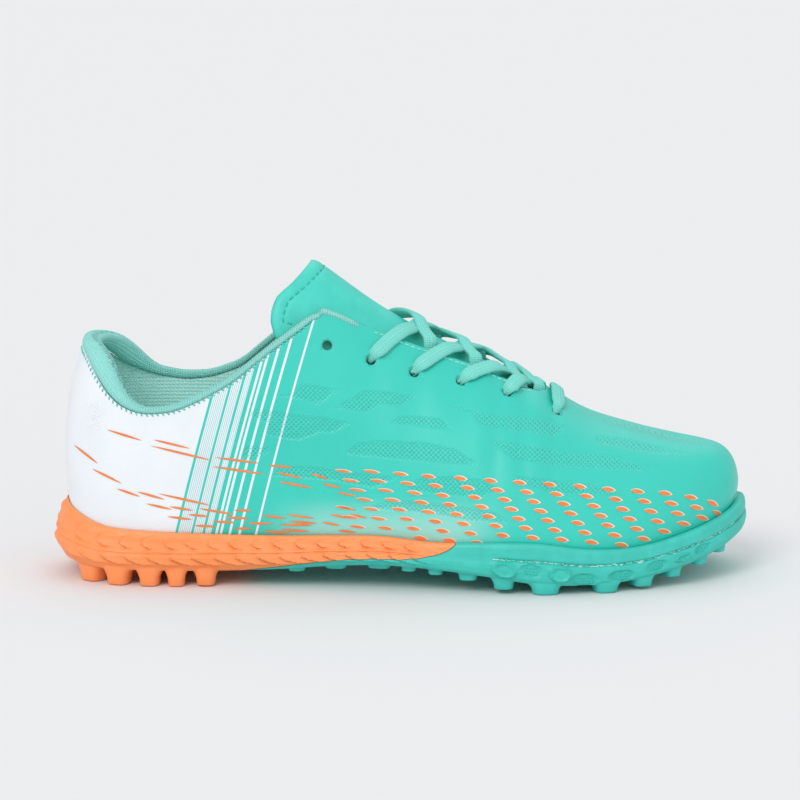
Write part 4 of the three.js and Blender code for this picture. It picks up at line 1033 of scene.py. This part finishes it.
def lugs_of(edge_rows, stud_rows, covered):
    made = []
    for side in SIDES:
        for place, long, wide, inset, drop in edge_rows:
            u = row_at(place * LENGTH)
            x, y = outline_point(u, side, -inset * MM)
            normal_x, normal_y = outline_normal(u, side)
            under = float(sole_height(u, UNDERSIDE, LUG_HEIGHT))
            top = under + LUG_ROOT
            # Under the lip of the heel unit, a lug's root stays below the line between the units
            if covered and place < UNIT_LINE[-1, 0]:
                top = min(top, np.interp(place, *UNIT_LINE.T) * EDGE_HEIGHT - 2 * CLEARANCE)
            turn = math.atan2(normal_y, normal_x) + math.pi / 2
            made.append(lug(x - SHOE_MIDDLE[0], y - SHOE_MIDDLE[1], turn, top, under * (1 - drop),
                            long * MM, wide * MM))
        for place, share, size, drop in stud_rows:
            u = row_at(place * LENGTH)
            under = float(sole_height(u, UNDERSIDE, LUG_HEIGHT))
            y = float(middle_line(u)) + side * share * BALL_WIDTH
            made.append(lug(place * LENGTH - SHOE_MIDDLE[0], y - SHOE_MIDDLE[1], 0, under + LUG_ROOT,
                            under * (1 - drop), size * MM, size * MM, 2))
    return made


BEAD_PITCH = 0.00115
BEAD_RADIUS = 0.00042


def beads_of(patches):
    """Small domes in staggered rows over the textured ovals, on both sides."""
    places, axes = [], []
    for side, patch, row, column in itertools.product(SIDES, patches, range(-4, 5), range(-6, 7)):
        place = patch[0] + (column + 0.5 * (row % 2)) * BEAD_PITCH / LENGTH
        rise = patch[3] + row * 0.87 * BEAD_PITCH / (EDGE_HEIGHT - LUG_HEIGHT)
        if oval_share(place, rise, patch) < 0.84 and rise > 0.03:
            u = row_at(place * LENGTH)
            here = sole_side(u, rise, side)
            forward = sole_side(u + 0.02, rise, side) - here
            out = np.cross(forward, sole_side(u, rise + 0.02, side) - here) * -side
            places.append(here)
            axes.append(unit(np.array([out, forward, np.cross(out, forward)])) * BEAD_RADIUS)
    return repeated("sole_beads", BEAD_RINGS, 8, np.array(places), np.array(axes))


block = sole_block()
spare = block.copy()
spare.data = block.data.copy()
bpy.context.collection.objects.link(spare)
heel_block = cut_by(block, unit_region(0), "INTERSECT")
heel_unit = joined("heel_unit", [heel_block, *lugs_of(HEEL_LUGS, HEEL_STUDS, False)])
fore_block = cut_by(spare, unit_region(0.0002), "DIFFERENCE")
fore_unit = joined("forefoot_unit", [fore_block, *lugs_of(FORE_LUGS, FORE_STUDS, True),
                                     beads_of(SIDE_OVALS[SIDE_OVALS[:, 4] == 0])])
for moulded in (heel_unit, fore_unit):
    select_only(moulded)
    bpy.ops.object.shade_smooth_by_angle(angle=math.radians(38))
# Moulded rubber: dense and even, satin, with a faint grain from the mould
orange_rubber = speckled("moulded_orange_rubber", 0.5, 0xFF9B5E, 0xFB9250, size=0.0006, strength=0.25)
finish_piece(heel_unit, orange_rubber, "orange_rubber", "heel_sole")
teal_rubber = speckled("moulded_teal_rubber", 0.5, 0x3FCBBE, 0x36C0B1, size=0.0006, strength=0.25)
finish_piece(fore_unit, teal_rubber, "teal_rubber", "outsole")
# Dried cement squeezed out in small pale beads along the groove of the forefoot unit
chance = np.random.default_rng(7)
GLUE_BEADS = 170
glue_places, glue_axes = [], []
for side in SIDES:
    glue_u = np.sort(chance.uniform(row_at(0.63 * LENGTH), row_at(0.972 * LENGTH), GLUE_BEADS))
    glue_rise = GROOVE_SHARE + chance.normal(0, 0.012, GLUE_BEADS)
    here = sole_side(glue_u, glue_rise, side, 0.0003)
    forward = unit(sole_side(glue_u + 0.02, glue_rise, side, 0.0003) - here)
    upright = np.array([0.0, 0.0, 1.0]) + 0 * forward
    long = chance.uniform(0.0006, 0.0019, (GLUE_BEADS, 1))
    thick = chance.uniform(0.00014, 0.0003, (GLUE_BEADS, 1))
    glue_places.append(here)
    glue_axes.append(np.stack([forward * long, upright * thick, np.cross(forward, upright) * thick], axis=1))
glue = repeated("groove_glue_beads", STITCH_RINGS, 8, np.concatenate(glue_places), np.concatenate(glue_axes))
# Dried cement: pale and slightly glossy
cement = speckled("dried_cement", 0.35, 0xC4F3EC, 0x8EDDD2, size=0.0004, strength=0.3)
finish_piece(glue, cement, "teal_rubber")

# The insole: a 4 mm foam footbed with a knit cover, loose inside the upper.
INSOLE_THICKNESS = 0.004
u = np.linspace(0.05, LAST_ROW - 0.05, 160)[None, :]
across = np.linspace(-1, 1, 41)[:, None]
foot_edge = {}
for side in SIDES:
    over = found_between(0, 1, lambda over: last_point(u, side * over)[..., 2]
                         > sole_height(u, FLOOR, FLOOR_HEIGHT) + INSOLE_THICKNESS)
    foot_edge[side] = on_last(u, side * over, -WALL - 0.0006 + 0 * u)
top = mix(foot_edge[OUTER], foot_edge[INNER], (across[..., None] + 1) / 2)
top[..., 2] += 0.0012 * np.abs(across) ** 6 - 0.0004
insole = sheet_of("footbed", top)
apply_modifier(insole, "SOLIDIFY", thickness=0.0034, offset=-1)
# Knit-covered foam: soft and matt, with fine rows of stitches, shade painted into their troughs
foam = knit_ribs(material_named("knit_covered_foam", 0.9), 0xBDF8EF, 0x8ADFD2, pitch=0.0014, strength=0.6)
finish_piece(insole, foam, "lining_foam", "insole")

# The cuff: a strip of ribbed knit folded over foam, sewn on with a zigzag stitch. It is thick round the
# heel, a narrow roll along the dip, and runs on as piping down both edges of the throat.
COLLAR_PAD = 0.007
COLLAR_ROLL = 0.003
PIPING_END = 0.452
PIPING_WIDTH = 0.0026
CUFF_STEPS = 360
CUFF_SIDES = 28


def cuff_frame(u, side):
    """Top and bottom edge of the cuff, over the last, and its depth inside."""
    top = np.maximum(collar_edge(u, side, TOP_EDGE), throat_over(u))
    rise = np.linalg.norm(last_point(u, side * (top + 0.01)) - last_point(u, side * top), axis=-1) / 0.01
    bottom = np.maximum(collar_edge(u, side, BINDING_EDGE), top + PIPING_WIDTH / rise)
    thin = smooth(station(u), 0.05 * LENGTH, 0.17 * LENGTH)
    inner = mix(COLLAR_PAD, COLLAR_ROLL, thin)
    return top, bottom, mix(inner, WALL + 0.0005, smooth(station(u), 0.3 * LENGTH, 0.38 * LENGTH))


u_end = row_at(PIPING_END * LENGTH)
u_path = np.concatenate([np.linspace(u_end, 0, CUFF_STEPS // 2), np.linspace(0, u_end, CUFF_STEPS // 2)[1:]])
side_path = np.where(np.arange(len(u_path)) < CUFF_STEPS // 2, OUTER, INNER)
cuff_top, cuff_bottom, cuff_depth = np.empty((3, len(u_path)))
for side in SIDES:
    chosen = side_path == side
    cuff_top[chosen], cuff_bottom[chosen], cuff_depth[chosen] = cuff_frame(u_path[chosen], side)


def rounded(angle, power):
    return np.sign(np.cos(angle)) * np.abs(np.cos(angle)) ** power


# A rounded section, which tapers into the upper over the last eight steps of both ends
turn = np.linspace(0, 2 * math.pi, CUFF_SIDES + 1)[:, None]
up_share = 0.5 + 0.5 * rounded(turn, 0.7)
out_share = 0.5 + 0.5 * rounded(turn - math.pi / 2, 0.7)
end_taper = smooth(np.minimum(np.arange(len(u_path)), np.arange(len(u_path))[::-1]), -1, 8)
half_up = (cuff_bottom - cuff_top) / 2 * mix(0.02, 1, end_taper)
centre_up = (cuff_bottom + cuff_top) / 2
cuff_v = side_path * (centre_up + half_up * (1 - 2 * up_share))
cuff_out = mix(-cuff_depth, 0.0007, out_share)
cuff_out = mix(-WALL / 2 + 0 * cuff_out, cuff_out, end_taper)
cuff_points = on_last(u_path + 0 * cuff_v, cuff_v, cuff_out)
cuff_run = run_along(cuff_points[CUFF_SIDES // 4])
cuff_around = turn / (2 * math.pi) * 0.02
cuff = cleaned(sheet_of("padded_cuff", cuff_points, run=cuff_run + 0 * cuff_around,
                        around=cuff_around + 0 * cuff_run))
# Ribbed knit: stretchy, open and matt, in two tones where the ribs shade each other
rib_knit = knit_ribs(material_named("ribbed_cuff_knit", 0.85), 0xB4F4EC, 0x70D6CA, pitch=0.00105,
                     strength=0.9, on_run=True)
finish_piece(cuff, rib_knit, "cuff_knit", "collar")

# The tongue: grained synthetic leather over thin foam, sewn round its edge, lying under the lacing and
# sewn to the lining at its front. Its tip stands up flat behind the instep.
LACE_WIDTH = 0.006
LACE_THICKNESS = 0.0014
LACE_FULL_THICKNESS = 0.0021
LACE_SLACK = 0.0008
LACE_ROOM = LACE_THICKNESS + LACE_SLACK + 2 * CLEARANCE
TONGUE_THICKNESS = 0.004
TONGUE_FRONT = 0.74
FACE_ROUNDING = 0.0012
EDGE_ROUNDING = 0.0022
TONGUE_STITCH_PLACE = 0.0042
TONGUE_STITCH_ACROSS = 0.84
# Rear edge from its lower corner to the tip, and lower edge hidden in the upper: place and share of height
TONGUE_REAR = np.array([
    [0.34, 0.715], [0.32, 0.77], [0.315, 0.815], [0.317, 0.849], [0.323, 0.884], [0.333, 0.905],
    [0.342, 0.92], [0.351, 0.938], [0.363, 0.965], [0.372, 0.985], [0.402, 1.06],
])
TONGUE_LOWER = np.array([
    [0.3, 0.73], [0.34, 0.715], [0.4, 0.68], [0.47, 0.64], [0.55, 0.575], [0.64, 0.51], [0.72, 0.45],
    [0.765, 0.43],
])


def tongue_depth(u):
    sewn = smooth(station(u), 0.725 * LENGTH, 0.745 * LENGTH)
    return -WALL - mix(LACE_ROOM, CLEARANCE, sewn)


def tongue_side(u, side):
    def above(over):
        point = last_point(u, side * over)
        return point[..., 2] > np.interp(point[..., 0] / LENGTH, *TONGUE_LOWER.T) * TONGUE_HEIGHT

    return found_between(0, 1, above)


def tongue_over(u, across):
    """How far over the last, as v, a share of the way to the tongue's sides lies."""
    return across * np.where(across < 0, tongue_side(u, OUTER), tongue_side(u, INNER))


def tongue_start(across):
    """Row number where the rear edge of the tongue lies, for a share of the way to its sides."""
    def behind(u):
        point = on_last(u, tongue_over(u, across), tongue_depth(u)) + SHOE_MIDDLE
        rear = np.interp(point[..., 2] / TONGUE_HEIGHT, TONGUE_REAR[:, 1], TONGUE_REAR[:, 0])
        return point[..., 0] / LENGTH < rear + 0.013 * smooth(across, 0, 0.5)

    return found_between(row_at(0.29 * LENGTH), row_at(0.42 * LENGTH), behind)


across = np.linspace(-1, 1, 71)[:, None]
run = np.linspace(0, 1, 150)[None, :]
u = mix(tongue_start(across), row_at(TONGUE_FRONT * LENGTH), run)
v = tongue_over(u, across)
# Distance in from the tongue's edge, where both faces round off, and the dent of its row of stitches
edge_room = np.minimum((1 - np.abs(across)) * 26, (u - tongue_start(across)) * 19) * MM
pillow = np.sqrt(np.clip(edge_room / EDGE_ROUNDING, 0, 1))
stitch_dent = 0.0003 * np.exp(-((edge_room - TONGUE_STITCH_PLACE) / 0.0005) ** 2)
outer_face = on_last(u, v, tongue_depth(u) - FACE_ROUNDING * (1 - pillow) - stitch_dent)
inner_face = on_last(u, v, tongue_depth(u) - FACE_ROUNDING - (TONGUE_THICKNESS - FACE_ROUNDING) * pillow)
tongue = joined("grained_tongue", [sheet_of("tongue_face", outer_face),
                                   sheet_of("tongue_lining", inner_face)])
cleaned(tongue, MERGE_DISTANCE)
# Synthetic leather: a supple film with a fine pebbled grain and a soft shine
leather = speckled("grained_synthetic_leather", 0.45, 0x48D8C8, 0x3DCBBB, size=0.0009, strength=0.35)
finish_piece(tongue, leather, "grained_leather", "tongue")
# Its stitches run 4 mm inside the edge, up one side, round the tip and down the other
rear = np.linspace(-TONGUE_STITCH_ACROSS, TONGUE_STITCH_ACROSS, 160)
down = np.linspace(1, 0, 60)[:-1]
stitch_across = np.concatenate([rear[0] + 0 * down, rear, rear[-1] + 0 * down])
stitch_ahead = np.concatenate([down, 0 * rear, down[::-1]]) * 2.2
stitch_u = tongue_start(stitch_across) + 0.22 + stitch_ahead
stitch_v = tongue_over(stitch_u, stitch_across)
line = on_last(stitch_u, stitch_v, tongue_depth(stitch_u) - 0.0001)
tongue_stitches = stitched("tongue_edge_stitches", line, last_normal(stitch_u, stitch_v), pitch=0.0032,
                           length=0.0022, radius=0.0003)
# Sewing thread in the tongue's own colour, a shade darker
tongue_thread = speckled("teal_sewing_thread", 0.6, 0x3AC2B4, 0x31AC9F, size=0.0003, strength=0.3)
finish_piece(tongue_stitches, tongue_thread, "grained_leather")

# The lace: one flat woven polyester lace, 6 mm wide. It comes up through an eyelet, crosses over the tongue
# towards the toe and dips under the far edge to the next eyelet, with a straight bar over the lowest pair.
STRAND_STEPS = 90
STRAND_LEAD = 0.011
LACE_SAG = 0.0038


def swept(name, centres, normals, widths, thicknesses, sides=18, power=0.8):
    """A flat band along a line, with rounded edges, closed at both ends."""
    tangents = unit(np.gradient(centres, axis=0))
    across = unit(np.cross(tangents, normals))
    normals = np.cross(across, tangents)
    angle = np.linspace(0, 2 * math.pi, sides + 1)
    flat = rounded(angle, power) / 2
    thick = rounded(angle - math.pi / 2, power) / 2
    rings = (centres[None] + across[None] * (flat[:, None] * widths[None])[..., None]
             + normals[None] * (thick[:, None] * thicknesses[None])[..., None])
    rings = np.concatenate([np.repeat(centres[None, :1], sides + 1, 0), rings,
                            np.repeat(centres[None, -1:], sides + 1, 0)], axis=1)
    run = run_along(centres)
    run = np.concatenate([run[:1], run, run[-1:]])
    around = angle[:, None] / math.pi * LACE_WIDTH
    return cleaned(sheet_of(name, rings, run=run + 0 * around, around=around + 0 * run))


def over_at(u, y):
    """Where over the last, as v, a line across the shoe at y lies."""
    return found_between(-1, 1, lambda v: last_point(u, v)[..., 1] < y)


def lace_strand(name, start, end, side, lift, lead):
    """Up out of the eyelet at start, over the tongue, under the far edge and back to the eyelet at end."""
    share = np.linspace(0, 1, STRAND_STEPS)
    in_hole = 1 - smooth(share, 0, 0.07)
    ahead_of_eyelet = lead * np.sin(np.minimum(share / 0.45, 1) * math.pi / 2) * (1 - smooth(share, 0.84, 1))
    u = row_at(mix(start[0], end[0], share) + ahead_of_eyelet - 0.0008 * in_hole)
    v = over_at(u, mix(start[1], end[1], share))
    # How far beyond the throat's edge, on its far side, the strand has got
    throat = throat_over(u)
    span = np.linalg.norm(last_point(u, v + 0.01) - last_point(u, v - 0.01), axis=-1) / 0.02
    beyond = np.where(np.sign(v) == -side, (np.abs(v) - throat) * span, -1)
    sunk = smooth(beyond, -0.0068, -0.0008)
    thick = mix(LACE_FULL_THICKNESS, LACE_THICKNESS, sunk) * mix(1, 0.8, in_hole)
    above = CLEARANCE + LACE_FULL_THICKNESS / 2
    below = -WALL - LACE_THICKNESS / 2 - 0.0005
    # The strand on top rises over the other in the middle, and both sag between the throat's edges
    hump = lift * np.exp(-((share - 0.47) / 0.15) ** 2)
    sag = LACE_SAG * smooth((throat - np.abs(v)) * span, 0.001, 0.013)
    # It dips under the far edge, and starts and ends inside the eyelets
    out = mix(above + hump - sag, below, sunk)
    out = mix(-WALL - 0.0012, out, smooth(share, 0, 0.045))
    out = mix(out, -WALL * 0.6, smooth(share, 0.965, 1))
    width = LACE_WIDTH * mix(0.6, 1, smooth(share, 0.0, 0.06)) * mix(1, 0.5, smooth(share, 0.86, 1))
    return swept(name, on_last(u, v, out), last_normal(u, v), width, thick)


def eyelet_points(side):
    u, v = eyelet_places(side)
    return [last_point(np.array(a), np.array(b)) for a, b in zip(u, v)]


outer_eyelets, inner_eyelets = eyelet_points(OUTER), eyelet_points(INNER)
# Woven polyester: matt flat weave with crossing rows of thread, shade painted between them
weave = knit_ribs(material_named("woven_polyester_lace", 0.85, Specular_IOR_Level=0.3), 0x96EDE1, 0x5FCABC,
                  pitch=0.00085, strength=0.6, on_run=True)
for k in range(1, 5):
    lead = STRAND_LEAD if k > 1 else 0
    near = lace_strand("near_strand", outer_eyelets[k], inner_eyelets[k - 1], OUTER, -0.0002, lead)
    far = lace_strand("far_strand", inner_eyelets[k], outer_eyelets[k - 1], INNER, 0.0018, lead)
    crossing = joined(f"lace_crossing_{k}", [near, far])
    finish_piece(crossing, weave, "lace_weave", f"lace_cross_{k}")
share = np.linspace(0, 1, STRAND_STEPS)
bar_u = np.full(STRAND_STEPS, row_at(outer_eyelets[0][0]))
bar_v = over_at(bar_u, mix(outer_eyelets[0][1], inner_eyelets[0][1], share))
ends = smooth(np.minimum(share, 1 - share), 0, 0.1)
bar_out = mix(-WALL - 0.0008, CLEARANCE + LACE_FULL_THICKNESS / 2, ends)
bar = swept("lace_low_bar", on_last(bar_u, bar_v, bar_out), last_normal(bar_u, bar_v),
            LACE_WIDTH * mix(0.5, 1, smooth(np.minimum(share, 1 - share), 0, 0.16)),
            np.full(STRAND_STEPS, LACE_FULL_THICKNESS))
finish_piece(bar, weave, "lace_weave", "lace_bar")

# Camera, light and floor: the view of the photograph, a soft studio and a plain pale floor
SENSOR_WIDTH = 36
bpy.ops.object.camera_add(location=CAMERA_TARGET - CAMERA_DISTANCE * ahead)
camera = bpy.context.object
aim = Vector(ahead).to_track_quat("-Z", "Y").to_matrix() @ Matrix.Rotation(CAMERA_ROLL, 3, "Z")
camera.rotation_euler = aim.to_euler()
camera.data.sensor_width = SENSOR_WIDTH
camera.data.lens = SENSOR_WIDTH * CAMERA_DISTANCE * PIXELS_PER_METRE / IMAGE_WIDTH
camera.data.shift_x = (IMAGE_WIDTH / 2 - float(TARGET_PIXEL[0])) / IMAGE_WIDTH
camera.data.shift_y = (float(TARGET_PIXEL[1]) - IMAGE_WIDTH / 2) / IMAGE_WIDTH
bpy.context.scene.camera = camera

paper = material_named("matt_paper_floor", 0.9, Base_Color=ink(0xE9E9EA))
bpy.ops.mesh.primitive_plane_add(size=120, location=(0, 0, -0.0002))
floor = bpy.context.object
floor.name = "studio_floor"
floor.data.materials.append(paper)
for name, turn, tilt, strength, spread in (("key_light", -28, 50, 1.15, 30), ("fill_light", 40, 66, 0.4, 90),
                                           ("back_light", 170, 35, 0.4, 50)):
    bpy.ops.object.light_add(type="SUN")
    lamp = bpy.context.object
    lamp.name = name
    lamp.data.energy = strength
    lamp.data.angle = math.radians(spread)
    lamp.rotation_euler = (math.radians(tilt), 0, math.radians(turn))
world = bpy.data.worlds.new("studio_air")
world.use_nodes = True
air = world.node_tree.nodes["Background"].inputs
air["Color"].default_value, air["Strength"].default_value = ink(0xF2F3F5), 0.72
bpy.context.scene.world = world
bpy.context.scene.view_settings.view_transform = "Standard"
